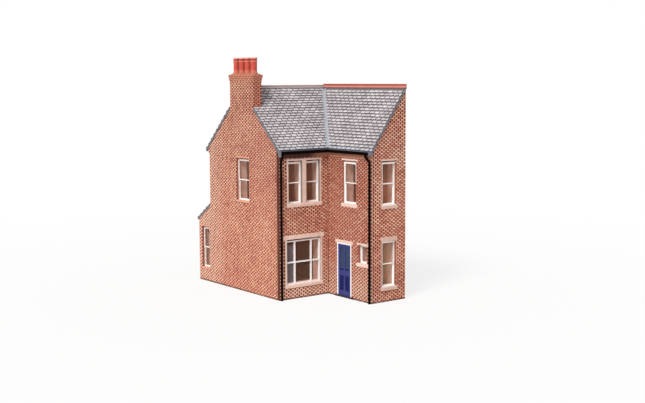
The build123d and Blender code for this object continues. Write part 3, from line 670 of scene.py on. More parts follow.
# %% A finish
class Finish:
    """A material in the making, which ends in one Principled shader."""

    def __init__(self, name):
        self.material = bpy.data.materials.new(name)
        self.material.use_nodes = True
        self.tree = self.material.node_tree
        self.shader = self.tree.nodes["Principled BSDF"]
        self.place = self.node("ShaderNodeTexCoord", output="Object")
        self.x, self.y, self.z = [
            self.node("ShaderNodeSeparateXYZ", Vector=self.place, output=axis) for axis in "XYZ"]

    def node(self, kind, settings=None, output=0, entries=None, **named):
        """Add a node to this material."""
        return add_node(self.tree, kind, settings, output, entries, **named)

    def noise(self, grain, detail=2.0, stretch=(1, 1, 1)):
        """Cloudy noise of 0 to 1 whose clouds are grain metres across."""
        place = self.node("ShaderNodeVectorMath", {"operation": "MULTIPLY"},
                          entries={0: self.place, 1: stretch})
        return self.node("ShaderNodeTexNoise", output="Fac", Vector=place, Scale=1 / grain,
                         Detail=detail)

    def step(self, value, start, end):
        """0 below start, 1 above end, and straight between them."""
        return self.node("ShaderNodeMapRange", {"clamp": True}, output="Result", Value=value,
                         entries={"From Min": start, "From Max": end})

    def mix(self, first, second, share):
        """The first colour, turning into the second as share goes from 0 to 1."""
        return self.node("ShaderNodeMix", {"data_type": "RGBA"}, output=2,
                         entries={0: share, 6: first, 7: second})

    def shade(self, colour, factor):
        """A colour made darker or lighter by a factor."""
        return self.node("ShaderNodeVectorMath", {"operation": "SCALE"},
                         entries={0: colour, "Scale": factor})

    def ramp(self, value, stops):
        """Colours along a value, as (place, colour) stops."""
        return self.node("ShaderNodeValToRGB", {"stops": stops}, output="Color", Fac=value)

    def faces(self, way):
        """How far the surface faces a way, from -1 to 1."""
        normal = self.node("ShaderNodeTexCoord", output="Normal")
        return self.node("ShaderNodeVectorMath", {"operation": "DOT_PRODUCT"}, output="Value",
                         entries={0: normal, 1: way})

    def deeper(self, out, level, depth):
        """1 where a point lies deeper than this behind a face that looks out at a level."""
        place = self.x if out.x else self.y
        return place > level + depth if out in (LEFT, STREET) else place < level - depth

    def attribute(self, name):
        """A number that the laying left on the points of each brick or slate."""
        return self.node("ShaderNodeAttribute", {"attribute_name": name}, output="Fac")

    def done(self, colour, roughness, height=None, depth=0.0, shine=0.5):
        """Set the shader. height is a bump, and depth its size in metres."""
        plug(self.tree, self.shader.inputs["Base Color"], colour)
        plug(self.tree, self.shader.inputs["Roughness"], roughness)
        if height is not None:
            bump = self.node("ShaderNodeBump", entries={"Height": height, "Distance": depth})
            plug(self.tree, self.shader.inputs["Normal"], bump)
        self.shader.inputs["Specular IOR Level"].default_value = shine
        return self.material


# %% [markdown]
# ## Putting a finish on
#
# A piece has one finish all over. Where two paints meet on one solid, as at the edge of a wall,
# the finish itself changes with the place or with the way the surface faces, so the meshes of the
# CAD solids need no second material and no cut.

# %% Dress a piece
def dress(material, *pieces):
    """Give these pieces, or CAD solids by name, one finish all over."""
    for piece in pieces:
        mesh = (nodes[piece] if isinstance(piece, str) else piece).data
        mesh.materials.clear()
        mesh.materials.append(material)


# %% [markdown]
# ## Brick and mortar
#
# The house was cast in one colour of resin and painted. A thin dark red wash was run over the
# walls, which stays in the joints, and the faces of the bricks were then picked out with an
# almost dry brush in salmon and orange. A dry brush never covers evenly, which is why
# neighbouring bricks differ a little and whole areas drift from orange to rose.
#
# An image of brickwork could be laid on, but it would have its own scale and its own light. Here
# the joints are real gaps between modelled bricks, and the colours are the only thing painted.

# %% Colours of the brickwork
SALMON = paint(248, 192, 164)
ORANGE = paint(240, 172, 140)
ROSE = paint(226, 152, 132)
BURNT = paint(196, 124, 98)
JOINT_WASH = paint(84, 24, 10)
DEEP_JOINT = paint(40, 12, 8)
MORTAR = paint(98, 44, 30)
# Painted highlight along the sharp corner of the wing.
CORNER_HIGHLIGHT = paint(222, 184, 164)
RED_BRICK = paint(204, 106, 76)
RUBBED = paint(255, 214, 188)
# A dark strip on the gable along its front corner, beside the downpipe.
DARK_STRIP = paint(60, 28, 22)
# Painted shade along the foot, where the wall meets the table.
FOOT_SHADE = paint(84, 50, 46)
print("bricks from", BURNT[:3], "to", SALMON[:3])

# %% [markdown]
# ## Dry brushed bricks
#
# Every brick carries a number of its own, its tint, from the step that laid it. The tint and a
# slow cloud together choose the colour, so that bricks differ and so do areas. On the gable and
# the stack the brush was loaded evenly; elsewhere each brick went its own way.
#
# The paint also changes from place to place. A soft step between two places makes each change,
# so all these places are named first.

# %% Where the paint of the bricks changes, in metres
RETURN_REDDENS = WALLS_TOP - 34 * MM, WALLS_TOP - 14 * MM
# Painted shade under the return wall's eave, and towards the eaves on every wall.
RETURN_EAVE_SHADE = WALLS_TOP - 30 * MM, WALLS_TOP - 10 * MM
UPPER_WALL_SHADE = 42 * MM, 66 * MM
STACK_DARKENS = 96 * MM, 112 * MM
JOINTS_DARKEN = 56 * MM, 84 * MM
DARK_WING_FOOT = 14 * MM, 24 * MM
RUBBED_REAR_END = 30 * MM, 46 * MM
RUBBED_FOOT = 8 * MM, 22 * MM
RUBBED_TOP = 94 * MM, 102 * MM
TOWARDS_RETURN = CORNER_X - 9 * MM, CORNER_X - 4 * MM
UNDER_INNER_EAVE = WALLS_TOP - 14 * MM, WALLS_TOP - 6 * MM
BEHIND_PIPE = MAIN_Y + 1.5 * MM, MAIN_Y + 2.8 * MM
ARRIS_END = CORNER_X + 0.75 * MM
DARK_LINE_END = CORNER_X + 1.25 * MM
FOOT_SHADE_TOP = 1.1 * MM, 1.7 * MM
print("the joints darken from", JOINTS_DARKEN[0], "to", JOINTS_DARKEN[1])


# %% Colour of the bricks
def on_return_wall(finish):
    """1 on the bricks of the return wall, and 0 elsewhere."""
    from_corner = finish.x > CORNER_X - 2 * BRICK_PROUD
    return from_corner * (finish.y > WING_Y + ON_THE_FACE) * (finish.y < MAIN_Y)


def brick_colour(finish, coat):
    """Each brick's own colour, with rose areas."""
    cloud = finish.noise(14 * MM, 3.0)
    drift = finish.noise(34 * MM, 2.0, stretch=(1, 1, 0.6))
    tone = finish.attribute("tint") * coat.variety + cloud * (1 - coat.variety)
    colour = finish.ramp(tone, [(0.2, BURNT), (0.38, ROSE), (0.54, ORANGE), (0.78, coat.lightest)])
    redder = 0.15 + 0.3 * finish.step(finish.z, *RETURN_REDDENS)
    colour = finish.mix(colour, RED_BRICK, on_return_wall(finish) * redder)
    colour = finish.mix(colour, ROSE, finish.step(drift, 0.48, 0.7) * 0.5)
    return finish.mix(colour, RED_BRICK, coat.redness)


def rubbed_places_and_painted_light(finish, colour):
    """Paler where the model is rubbed, at the rear end and the foot, with painted light in the
    inner corner under the eave, and a little paler high up.
    """
    rear_end = finish.step(finish.y, *RUBBED_REAR_END)
    low_front = (1 - finish.step(finish.z, *RUBBED_FOOT)) * (finish.x < CORNER_X) * (
        finish.y < MAIN_Y + ON_THE_FACE)
    colour = finish.mix(colour, RUBBED, rear_end.high(low_front) * 0.5)
    # Painted light in the inner corner under the eave, against its shade.
    inner_corner = finish.step(finish.x, *TOWARDS_RETURN) * finish.step(
        finish.z, *UNDER_INNER_EAVE) * (finish.x < CORNER_X)
    colour = finish.mix(colour, SALMON, inner_corner * 0.55)
    return finish.mix(colour, RUBBED, finish.step(finish.z, *RUBBED_TOP) * 0.08)


def tone_and_painted_shade(finish):
    """How light the paint stays: painted shade towards the eaves, deeper under the return's eave,
    and darker high on the stack and at the wing's foot.
    """
    # Painted shade towards the eaves on every wall, and darker again high on the stack.
    higher = 1 - finish.step(finish.z, *UPPER_WALL_SHADE) * 0.05
    higher = higher - finish.step(finish.z, *STACK_DARKENS) * 0.08
    # More painted shade under the return wall's eave.
    eave_shade = finish.step(finish.z, *RETURN_EAVE_SHADE) * on_return_wall(finish)
    low_wing = (1 - finish.step(finish.z, *DARK_WING_FOOT)) * (finish.y < WING_Y + ON_THE_FACE)
    return higher * (1 - eave_shade * 0.03) * (1 - low_wing * 0.12)


# %% [markdown]
# ## Dark strips, a painted highlight and painted shade at the foot
#
# A dark strip runs down the gable beside the downpipe at its front corner, and a dark line runs
# down the wing beside its corner. The wing's corner itself carries a painted highlight, and the
# foot, where the wall meets the table, a line of painted shade. Each of these is a mask made from
# the place alone.

# %% Dark and pale lines
def lines_on(finish, colour):
    """A dark strip on the gable by the pipe, a painted highlight on the wing's corner with a dark
    line beside it, and painted shade at the foot.
    """
    on_gable = finish.x < GABLE_X + ON_THE_FACE
    # A dark strip on the gable along its front corner, beside the downpipe.
    behind_pipe = on_gable * (1 - finish.step(finish.y, *BEHIND_PIPE))
    colour = finish.mix(colour, DARK_STRIP, behind_pipe * 0.9)
    on_wing = finish.y < WING_Y + ON_THE_FACE
    # Painted highlight on the wing's sharp corner.
    arris = on_wing * (finish.x < ARRIS_END)
    colour = finish.mix(colour, CORNER_HIGHLIGHT, arris * 0.7)
    # A dark line on the wing just beside its corner.
    dark_line = on_wing * (1 - arris) * (finish.x < DARK_LINE_END)
    colour = finish.mix(colour, JOINT_WASH, dark_line * 0.8)
    # Painted shade along the foot, where the wall meets the table.
    foot = 1 - finish.step(finish.z + finish.noise(1.6 * MM) * 1.2 * MM, *FOOT_SHADE_TOP)
    return finish.mix(colour, FOOT_SHADE, foot * 0.85)


def brick_finish(name, coat):
    """Bricks over a wash, which covers whatever lies low: height is 0 at a brick's foot."""
    finish = Finish(name)
    grain = finish.noise(0.35 * MM, 2.0)
    colour = rubbed_places_and_painted_light(finish, brick_colour(finish, coat))
    colour = finish.shade(colour, (0.9 + grain * 0.2) * tone_and_painted_shade(finish) * coat.strength)
    joint = finish.mix(coat.joint, DEEP_JOINT, finish.step(finish.z, *JOINTS_DARKEN) * 0.6)
    above_wash = finish.step(finish.attribute("height"), 0.25, 0.95)
    colour = lines_on(finish, finish.mix(joint, colour, above_wash))
    return finish.done(colour, 0.86, grain, 0.03 * MM, shine=0.12)


# %% [markdown]
# ## Paint on each face of brickwork
#
# One coat serves for the street and the rear. The return wall's bricks carry painted shade of the
# recess they stand in, so they are a little darker; the stack's bricks are a little darker too, and
# the gable and the stack were brushed more evenly. In a coat, variety is the share of each brick's
# own tint, against that of the cloud.

# %% Paint the brickwork
Coat = namedtuple("Coat", "strength variety lightest joint redness")
SOFT_JOINT = paint(98, 32, 18)
CREAM = paint(252, 202, 178)
# Painted shade of the recess that the return wall stands in, on its bricks and its resin.
RETURN_SHADE = 0.85
UNEVEN_COAT = Coat(strength=1.0, variety=0.46, lightest=CREAM, joint=SOFT_JOINT, redness=0.0)
EVEN_COAT = Coat(strength=1.0, variety=0.34, lightest=SALMON, joint=JOINT_WASH, redness=0.0)
COATS = {
    "gable_bricks": EVEN_COAT,
    "chimney_bricks": EVEN_COAT._replace(strength=0.93, redness=0.45),
    "return_bricks": UNEVEN_COAT._replace(strength=RETURN_SHADE),
}
for piece in brickwork:
    dress(brick_finish(f"painted_{piece.name}", COATS.get(piece.name, UNEVEN_COAT)), piece)
print(len(brickwork), "pieces of brickwork painted")

# %% [markdown]
# ## Joints
#
# The bricks stand a little proud of the solid wall, so the wall itself is what is seen in the
# joints. The stack is painted as joint all over. A wall is harder: its outer skin is joint, its
# reveals were painted with a wide brush, and inside it is bare resin, pale near the openings, with
# painted shade under the ceilings, where little light comes. One finish tells these apart by the
# place and by the way each surface faces. The party face has no bricks, since the next house stands
# against it, so it only gets a thin plain coat over the resin.

# %% Joints of the stack
def mortar_finish():
    """Brown joints all over, with painted light on the side that faces the street."""
    finish = Finish("stack_mortar")
    colour = finish.mix(paint(46, 16, 10), JOINT_WASH, finish.noise(4 * MM, 3.0) * 0.7)
    # Painted light on the street side, against the shade it lies in.
    colour = finish.mix(colour, paint(118, 58, 48), finish.faces(STREET) > 0.5)
    return finish.done(colour, 0.9, finish.noise(0.3 * MM), 0.03 * MM, shine=0.1)


dress(mortar_finish(), "chimney_stack")
print("the stack shows its joints")

# %% Colours behind the bricks
PAINTED_DEPTH = 1.3 * MM
REVEAL_PAINT = paint(196, 124, 102)
PARTY_PAINT = paint(206, 142, 120)
RESIN = paint(250, 204, 186)
RESIN_STAIN = paint(228, 176, 156)
ROOM_BROWN = paint(250, 172, 126)
ROOM_SHADE = paint(120, 72, 52)
FIRST_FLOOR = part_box("upper_floor")[0].z
EAVE_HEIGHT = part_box("street_gutter")[0].z
CEILING_SHADE = 20 * MM
WING_DARKENS = 2 * MM, 12 * MM
print("paint reaches", PAINTED_DEPTH, "into the openings")


# %% Walls
def room_colour(finish):
    """Bare resin of the rooms, with painted shade towards each ceiling, deepest in the wing."""
    under_floor = finish.step(finish.z, FIRST_FLOOR - CEILING_SHADE, FIRST_FLOOR) * (
        finish.z < FIRST_FLOOR)
    # Painted shade towards each ceiling, and more of it in the wing.
    shade_under_ceiling = under_floor + finish.step(finish.z, EAVE_HEIGHT - CEILING_SHADE, EAVE_HEIGHT)
    in_wing = finish.step(MAIN_Y - finish.y, *WING_DARKENS)
    room = finish.mix(ROOM_BROWN, ROOM_SHADE, shade_under_ceiling * 0.7)
    return finish.shade(room, 1 - in_wing * shade_under_ceiling * 0.4)


def wall_finish(name, out, level, strength, bricks):
    """Joints or a plain coat outside, paint just inside the openings, and resin behind it."""
    finish = Finish(name)
    cloud = finish.noise(4 * MM, 3.0)
    joints = finish.mix(MORTAR, JOINT_WASH, cloud)
    joints = finish.shade(joints, 1 - finish.step(finish.z, *JOINTS_DARKEN) * 0.6)
    outside = joints if bricks else finish.mix(PARTY_PAINT, REVEAL_PAINT, cloud)
    reveal = finish.mix(REVEAL_PAINT, MORTAR, cloud)
    coat = finish.mix(reveal, outside, finish.faces(out) > 0.5)
    coat = finish.mix(coat, joints, finish.faces(BACK) > 0.5)
    resin = finish.mix(RESIN, RESIN_STAIN, finish.step(cloud, 0.35, 0.75))
    resin = finish.mix(resin, room_colour(finish), finish.faces(out) < -0.5)
    skin = 1 - finish.deeper(out, level, PAINTED_DEPTH)
    rear_face = (finish.y > REAR_Y - ON_THE_FACE) * (finish.faces(BACK) > 0.5)
    colour = finish.mix(finish.shade(resin, strength), coat, skin.high(rear_face))
    return finish.done(colour, 0.9, finish.noise(0.3 * MM), 0.03 * MM)


WALLS = (("gable_wall", LEFT, GABLE_X), ("front_wall", STREET, MAIN_Y),
         ("return_wall", LEFT, CORNER_X), ("wing_gable_wall", STREET, WING_Y),
         ("party_wall", RIGHT, PARTY_X), ("rear_wall", BACK, REAR_Y),
         ("lean_to_wall", BACK, LEAN_Y))
for name, out, level in WALLS:
    # The return wall's resin gets the same painted shade.
    strength = RETURN_SHADE if name == "return_wall" else 1.0
    dress(wall_finish(f"{name}_resin", out, level, strength, bricks=name != "party_wall"), name)
print(len(WALLS), "walls painted")

# %% [markdown]
# ## Slate
#
# Slates are thin, flat and nearly without shine. Their faces were dry brushed in pale grey, and the
# joints stay dark. The upper end of each slate, where the next row's tail casts its shadow, and the
# tails themselves are painted in shade, more deeply on the wing side of the roof, and the front
# slope's slates are painted a little lighter. The lowest course along the eave keeps a bluer paint.
# The slab under the slates is seen twice: from above in the joints, where it is dark, and from the
# end as the grey verge.

# %% Paint the slates
EAVE_BAND = front_slope.corner.z + 1.3 * MM


def slate_finish():
    """Grey slates, bluer at the eave, with painted shadow on each slate's upper end, painted shade
    on the tails and painted light on the front slope.
    """
    finish = Finish("painted_slate")
    tint = finish.attribute("tint")
    cloud = finish.noise(12 * MM, 2.0)
    colour = finish.ramp(tint * 0.4 + cloud * 0.6, [(0.25, paint(182, 174, 176)),
                                                   (0.5, paint(200, 192, 194)),
                                                   (0.75, paint(220, 212, 214))])
    # Painted light: the front slope's slates are a little lighter.
    on_front = (finish.faces(STREET) > 0.3) * (finish.y > MAIN_Y)
    colour = finish.shade(colour, 1.0 + on_front * 0.07)
    colour = finish.mix(colour, paint(186, 192, 204), (finish.z < EAVE_BAND) * 0.6)
    grain = finish.noise(0.6 * MM, 2.0)
    # Painted shadow of the next row's tail on the upper end of each slate, deeper on the wing side.
    rise = finish.step(finish.attribute("height"), 0.12, 0.7)
    head_shade = 0.7 + (finish.x > CORNER_X) * 0.2
    colour = finish.shade(colour, (0.97 + grain * 0.2) * (1 - (1 - rise) * head_shade))
    # Painted shade on the tails, which face down the slope.
    colour = finish.mix(colour, paint(46, 42, 46), finish.faces(Z) < 0.2)
    return finish.done(colour, 0.7, grain, 0.03 * MM, shine=0.25)


dress(slate_finish(), *slates)
print(sum(len(piece.data.polygons) for piece in slates), "faces of slates painted")

# %% Paint the slabs
def slab_finish(name, light, dark):
    """The verge is the slab's edge. Its upper side shows only in the joints of the slates."""
    finish = Finish(name)
    cloud = finish.noise(3 * MM, 3.0)
    joint = finish.mix(paint(72, 68, 72), paint(112, 106, 110), finish.x > CORNER_X)
    colour = finish.mix(finish.mix(dark, light, cloud), joint, finish.faces(Z) > 0.3)
    return finish.done(colour, 0.7, finish.noise(0.5 * MM), 0.04 * MM)


dress(slab_finish("grey_verge", paint(124, 122, 130), paint(96, 94, 104)),
      "main_roof_front", "main_roof_rear", "wing_roof", "lean_to_roof")
print("four slabs painted")

# %% [markdown]
# ## Lead
#
# Lead is soft and goes over a joint in one strip. It is dull and a little uneven, which a cloud
# of noise and a soft bump give.

# %% Paint the lead
def cloudy_finish(name, grain, detail, dark, light, roughness, depth):
    """Two shades of one colour in clouds, which stand out by a soft bump."""
    finish = Finish(name)
    cloud = finish.noise(grain, detail)
    return finish.done(finish.mix(dark, light, cloud), roughness, cloud, depth)


dress(cloudy_finish("lead", 2.5 * MM, 3.0, paint(148, 152, 158), paint(186, 190, 198), 0.6,
                    0.05 * MM), "valley_flashing", "lean_to_flashing")
print("valley and lean-to flashing painted")

# %% [markdown]
# ## Ridge tiles
#
# The wing has red ridge tiles and the main roof grey ones. The light and shade of a rounded tile
# are painted in by the height alone: a painted highlight on the roll, a band of painted shade and a
# lit flank, with painted shadow at the foot on the wing, where the tile meets the slates, and a
# pale foot on the main roof. A ramp along the tile's own height draws this, and follows the tile if
# its size is changed.

# %% Paint the ridge tiles
def ridge_finish(name, tiles, grain, roughness, stops):
    """Colours along the height of a row of ridge tiles, from the foot to the roll, with their
    painted light and shade.
    """
    finish = Finish(name)
    low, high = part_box(tiles)
    share = (finish.z - low.z) / (high.z - low.z)
    colour = finish.shade(finish.ramp(share, stops), 0.88 + finish.noise(grain, 3.0) * 0.24)
    return finish.done(colour, roughness, finish.noise(0.5 * MM), 0.03 * MM)


# Painted light and shade of the rounded tile, with painted shadow at the foot on the wing.
dress(ridge_finish("terracotta_ridge", "wing_ridge_tiles", 5 * MM, 0.6, [
    (0.0, paint(84, 60, 58)), (0.14, paint(112, 76, 72)), (0.3, paint(164, 100, 90)),
    (0.45, paint(216, 136, 122)), (0.62, paint(172, 84, 66)), (0.85, paint(152, 66, 48)),
    (1.0, paint(216, 146, 128))]), "wing_ridge_tiles")
dress(ridge_finish("grey_ridge", "main_ridge_tiles", 4 * MM, 0.75, [
    (0.0, paint(210, 200, 198)), (0.3, paint(172, 154, 150)), (0.55, paint(124, 102, 96)),
    (0.95, paint(186, 164, 154))]), "main_ridge_tiles")
print("ridge tiles painted")

# %% [markdown]
# ## Pots and flaunching
#
# The pots are a stronger red than the bricks and have some shine. Their right sides are painted in
# shade, their rims and the ring under them carry painted highlights, and the line between is
# painted in shade. The pots stand in a sloped bed of mortar on the cap, which masons call
# flaunching.

# %% Paint the pots and their bed
POT_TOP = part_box("chimney_pots")[1].z
CAP_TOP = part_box("chimney_cap")[1].z
FLAUNCHING = CAP_TOP - 1.3 * MM, CAP_TOP - 1.1 * MM


def pot_finish():
    """Red clay with painted shade on the right, painted highlights on the rim and ring and painted
    shade under the rim, told by the millimetres below the top, and a paler foot.
    """
    finish = Finish("terracotta_pots")
    cloud = finish.noise(2 * MM, 3.0)
    colour = finish.mix(paint(176, 56, 42), paint(208, 84, 62), cloud)
    # Painted shade on the right side of each pot.
    colour = finish.shade(colour, 1.05 - finish.step(finish.faces(RIGHT), -0.7, 0.4) * 0.3)
    below_top = (POT_TOP - finish.z) / MM
    # Painted highlights on the rim and the ring, and painted shade under the rim; the foot is
    # paler.
    rim = 1 - finish.step(below_top, 0.4, 0.9)
    under_rim = (below_top > 1.0) * (below_top < 1.6)
    ring = (below_top > 1.9) * (below_top < 2.6)
    foot = finish.step(below_top, 6.6, 7.4)
    for band, tone in ((rim, paint(238, 176, 158)), (under_rim * 0.7, paint(146, 48, 36)),
                       (ring * 0.6, paint(232, 140, 116)), (foot * 0.5, paint(222, 134, 112))):
        colour = finish.mix(colour, tone, band)
    return finish.done(colour, 0.38, finish.noise(0.5 * MM), 0.02 * MM)


def flaunching_finish():
    """Brown on the sides of the cap, turning into paler mortar on its sloped bed."""
    finish = Finish("chimney_mortar")
    cloud = finish.noise(2 * MM, 3.0)
    bed = finish.step(finish.z, *FLAUNCHING)
    colour = finish.mix(paint(150, 92, 70), paint(186, 112, 90), bed)
    colour = finish.shade(colour, 0.85 + cloud * 0.3)
    return finish.done(colour, 0.9, cloud, 0.05 * MM)


dress(pot_finish(), "chimney_pots")
dress(flaunching_finish(), "chimney_cap")
print("pots and cap painted")

# %% [markdown]
# ## Stone
#
# Lintels and sills are stone, painted in flesh colour on the street side and nearly lost in the
# brick colour elsewhere. Their surface is smooth with a fine grain. A side that faces left into
# an opening lies in shade, and the end of the return wall's stones is lapped over with brick
# paint.

# %% Paint the stones
LAPPED_ABOVE = return_frames_low.z + 20 * MM
LAP_END = return_frames_low.y + 0.4 * MM


def stone_finish(name, light, dark, reveal_shade=0.0, lapped=False):
    """Fine grained paint, darker on sides that face left, and lapped over by brick paint or not."""
    finish = Finish(name)
    cloud = finish.noise(3 * MM, 3.0)
    colour = finish.mix(dark, light, cloud)
    colour = finish.shade(colour, 1 - (finish.faces(LEFT) > 0.5) * reveal_shade)
    if lapped:
        lap = (finish.y < LAP_END) * (finish.z > LAPPED_ABOVE)
        colour = finish.mix(colour, finish.mix(BURNT, ORANGE, cloud), lap * 0.8)
    return finish.done(colour, 0.85, finish.noise(0.4 * MM), 0.04 * MM)


dress(stone_finish("painted_stone", paint(244, 214, 200), paint(216, 178, 160), 0.65),
      "front_upper_surround")
dress(stone_finish("lower_stone", paint(250, 222, 208), paint(226, 190, 172), 0.5),
      "front_lower_surround")
dress(stone_finish("tan_stone", paint(234, 202, 186), paint(196, 158, 142)),
      "wing_lintels_and_sills")
dress(stone_finish("pale_stone", paint(248, 220, 208), paint(220, 184, 168), lapped=True),
      "return_lintels_and_sills")
dress(stone_finish("brick_coloured_stone", paint(236, 172, 148), paint(204, 136, 110)),
      "gable_lintels_and_sills", "rear_lintels_and_sills")
print("six sets of stones painted")

# %% [markdown]
# ## White woodwork
#
# Sash boxes and door frames are painted white. Gloss paint on a real sash shines, but on a model
# of this size it looks like plastic, so it is only half smooth. In the gable's windows the sides
# that face the street are painted in shade, brown with the wall's reflected light.

# %% Paint the woodwork
GABLE_FRAMES_END = GABLE_X + 4 * MM


def white_finish():
    """White paint, with painted shade, brown with the wall's reflected light, on the street side of
    each bar of the gable's windows.
    """
    finish = Finish("white_paint")
    cloud = finish.noise(2 * MM, 2.0)
    colour = finish.mix(paint(250, 246, 242), paint(255, 254, 252), cloud)
    # Painted shade and reflected brown on the street side of the gable's frames.
    shaded_side = (finish.faces(STREET) > 0.5) * (finish.x < GABLE_FRAMES_END)
    colour = finish.mix(colour, paint(206, 168, 146), shaded_side)
    return finish.done(colour, 0.5, finish.noise(0.4 * MM), 0.01 * MM)


dress(white_finish(), staff_beads, "front_upper_frames", "front_lower_frame",
      "return_window_frames", "wing_window_frames", "gable_window_frames", "rear_window_frames",
      "street_door_frame", "back_door_frame")
print("frames and beads painted")

# %% [markdown]
# ## Gutter, pipes and boards
#
# Rainwater goods of cast iron are painted black. On a model they are brushed in last and let the
# brown under them show a little. The fascia behind the gutter is dark brown over the front
# windows, deepened as painted shade under the gutter, and worn to the resin towards the inner
# corner.

# %% Paint the ironwork and the fascia
FASCIA_WORN = CORNER_X - 11 * MM, CORNER_X - 3 * MM
UNEVEN_EDGE = 5 * MM


def iron_finish():
    """Almost dull black over brown."""
    finish = Finish("black_ironwork")
    cloud = finish.noise(2 * MM, 2.0)
    colour = finish.mix(paint(6, 1, 1), paint(20, 7, 5), cloud)
    return finish.done(colour, 0.85, finish.noise(0.4 * MM), 0.02 * MM, shine=0.04)


def fascia_finish():
    """Dark brown boards, deepened as painted shade under the gutter, and worn paler towards the
    inner corner.
    """
    finish = Finish("brown_fascia")
    cloud = finish.noise(4 * MM, 2.0, stretch=(1, 1, 6))
    # Dark brown, deepened as painted shade under the gutter.
    colour = finish.mix(paint(46, 14, 8), paint(82, 38, 26), cloud)
    worn_paint = finish.mix(paint(176, 108, 84), paint(220, 160, 130), cloud)
    worn = finish.step(finish.x + cloud * UNEVEN_EDGE, *FASCIA_WORN)
    colour = finish.mix(colour, worn_paint, worn * 0.75)
    return finish.done(colour, 0.7, cloud, 0.02 * MM)


dress(iron_finish(), "street_gutter", "front_downpipe", "wing_downpipe")
dress(fascia_finish(), "fascia_boards")
print("ironwork and fascia painted")

# %% [markdown]
# ## Doors and steps
#
# Both doors have four sunk panels. The rails are violet blue; the upper panels were given a
# greener wash and the lower ones navy. Sunk faces are told from the rails by how deep they lie.

# %% Paint the doors and steps
PANEL_SUNK = 0.3 * MM
LOCK_RAIL = 16 * MM


def door_finish(name, out, level):
    """Violet blue rails, with greener panels above the lock rail and navy ones below it."""
    finish = Finish(name)
    cloud = finish.noise(1.5 * MM, 2.0, stretch=(1, 1, 0.3))
    panels = finish.mix(paint(54, 70, 94), paint(20, 30, 86), finish.z < LOCK_RAIL)
    colour = finish.mix(paint(60, 64, 126), panels, finish.deeper(out, level, PANEL_SUNK))
    colour = finish.shade(colour, 0.85 + cloud * 0.3)
    return finish.done(colour, 0.6, cloud, 0.02 * MM, shine=0.2)


dress(door_finish("blue_street_door", LEFT, CORNER_X), "street_door")
dress(door_finish("blue_back_door", BACK, LEAN_Y), "back_door")
dress(cloudy_finish("black_step", 2 * MM, 2.0, paint(24, 18, 18), paint(48, 38, 36), 0.6,
                    0.03 * MM), "doorsteps")
print("two doors and their steps painted")

# %% [markdown]
# ## Glazing
#
# The windows are glazed with clear film. It hides almost nothing: what is seen of it is a faint
# veil, with a painted reflection of the studio on the left light of the wide window and painted
# light on the wing's lower window. A nearly clear surface is made with a low alpha; a shader of
# real glass would bend the light, which a flat film does not, and would take far longer to settle.

# %% Glaze the windows
LEFT_LIGHT_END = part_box("front_lower_frame")[0].x + 6 * MM
DOOR_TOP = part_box("street_door")[1].z
WING_GLASS_END = WING_Y + 3 * MM


def glass_finish():
    """A faint veil, with a painted reflection in the wide window's left light and painted light in
    the wing's lower one.
    """
    finish = Finish("window_glazing")
    cloud = finish.noise(6 * MM, 1.0)
    # Painted reflection on the wide window's left light, and painted light on the wing's lower
    # window.
    left_pane_reflection = (finish.x < LEFT_LIGHT_END) * (finish.y < RIDGE_Y) * (finish.z < DOOR_TOP)
    wing_pane_light = (finish.y < WING_GLASS_END) * (finish.z < FIRST_FLOOR)
    plug(finish.tree, finish.shader.inputs["Alpha"], 0.06 + left_pane_reflection * 0.12 + wing_pane_light * 0.02)
    film = finish.mix(paint(190, 156, 132), paint(214, 184, 162), cloud)
    film = finish.mix(film, paint(255, 226, 186), wing_pane_light)
    return finish.done(finish.mix(film, paint(172, 168, 172), left_pane_reflection), 0.08)


dress(glass_finish(), "front_glass", "wing_glass", "gable_glass", "rear_glass")
print("four sets of panes glazed")

# %% [markdown]
# ## Floors
#
# The floors are bare resin. They are seen only through the windows, as a paler strip low down.

# %% Finish the floors
dress(cloudy_finish("resin_floor", 5 * MM, 3.0, paint(232, 186, 152), paint(250, 214, 184), 0.8,
                    0.03 * MM), "ground_floor", "upper_floor")
print(len(bpy.data.materials), "finishes in all")

# %% [markdown]
# ## The table
#
# The model stands on a plain white table. Near the model the table shows its shadow; further off
# it turns into pure white, so that it has no far edge. Only what the camera sees is whitened: the
# light that the table sends back to the house is that of ordinary pale paint.

# %% Table
TABLE_WIDTH = 6
SHADOW_FADES = 0.1, 0.4
NEAR_WHITENESS = 0.8
WHITE = (1, 1, 1, 1)
bpy.ops.mesh.primitive_plane_add(size=TABLE_WIDTH, location=(0, 0, 0))
table = bpy.context.object
table.name = "table"
table_paint = Finish("table_paint")
camera_ray = table_paint.node("ShaderNodeLightPath", output="Is Camera Ray")
white = table_paint.node("ShaderNodeEmission", Color=WHITE, Strength=1.0)
table_paint.done(paint(238, 236, 234), 0.9)
distance = table_paint.node("ShaderNodeVectorMath", {"operation": "LENGTH"}, output="Value",
                            entries={0: table_paint.place})
plain = NEAR_WHITENESS + table_paint.step(distance, *SHADOW_FADES) * (1 - NEAR_WHITENESS)
painted = Value(table_paint.tree, table_paint.shader.outputs[0])
shown = table_paint.node("ShaderNodeMixShader", entries={0: camera_ray * plain, 1: painted,
                                                         2: white})
plug(table_paint.tree, table_paint.tree.nodes["Material Output"].inputs["Surface"], shown)
dress(table_paint.material, table)
bpy.ops.object.select_all(action="DESELECT")
print("the table is", table.dimensions.x, "metres wide")

# %% [markdown]
# ## The sky of the studio
#
# An even sky fills the shadows. Seen directly, mirrored or through glass it is pure white, while
# its light on the house is much weaker, or pale paint would burn out.

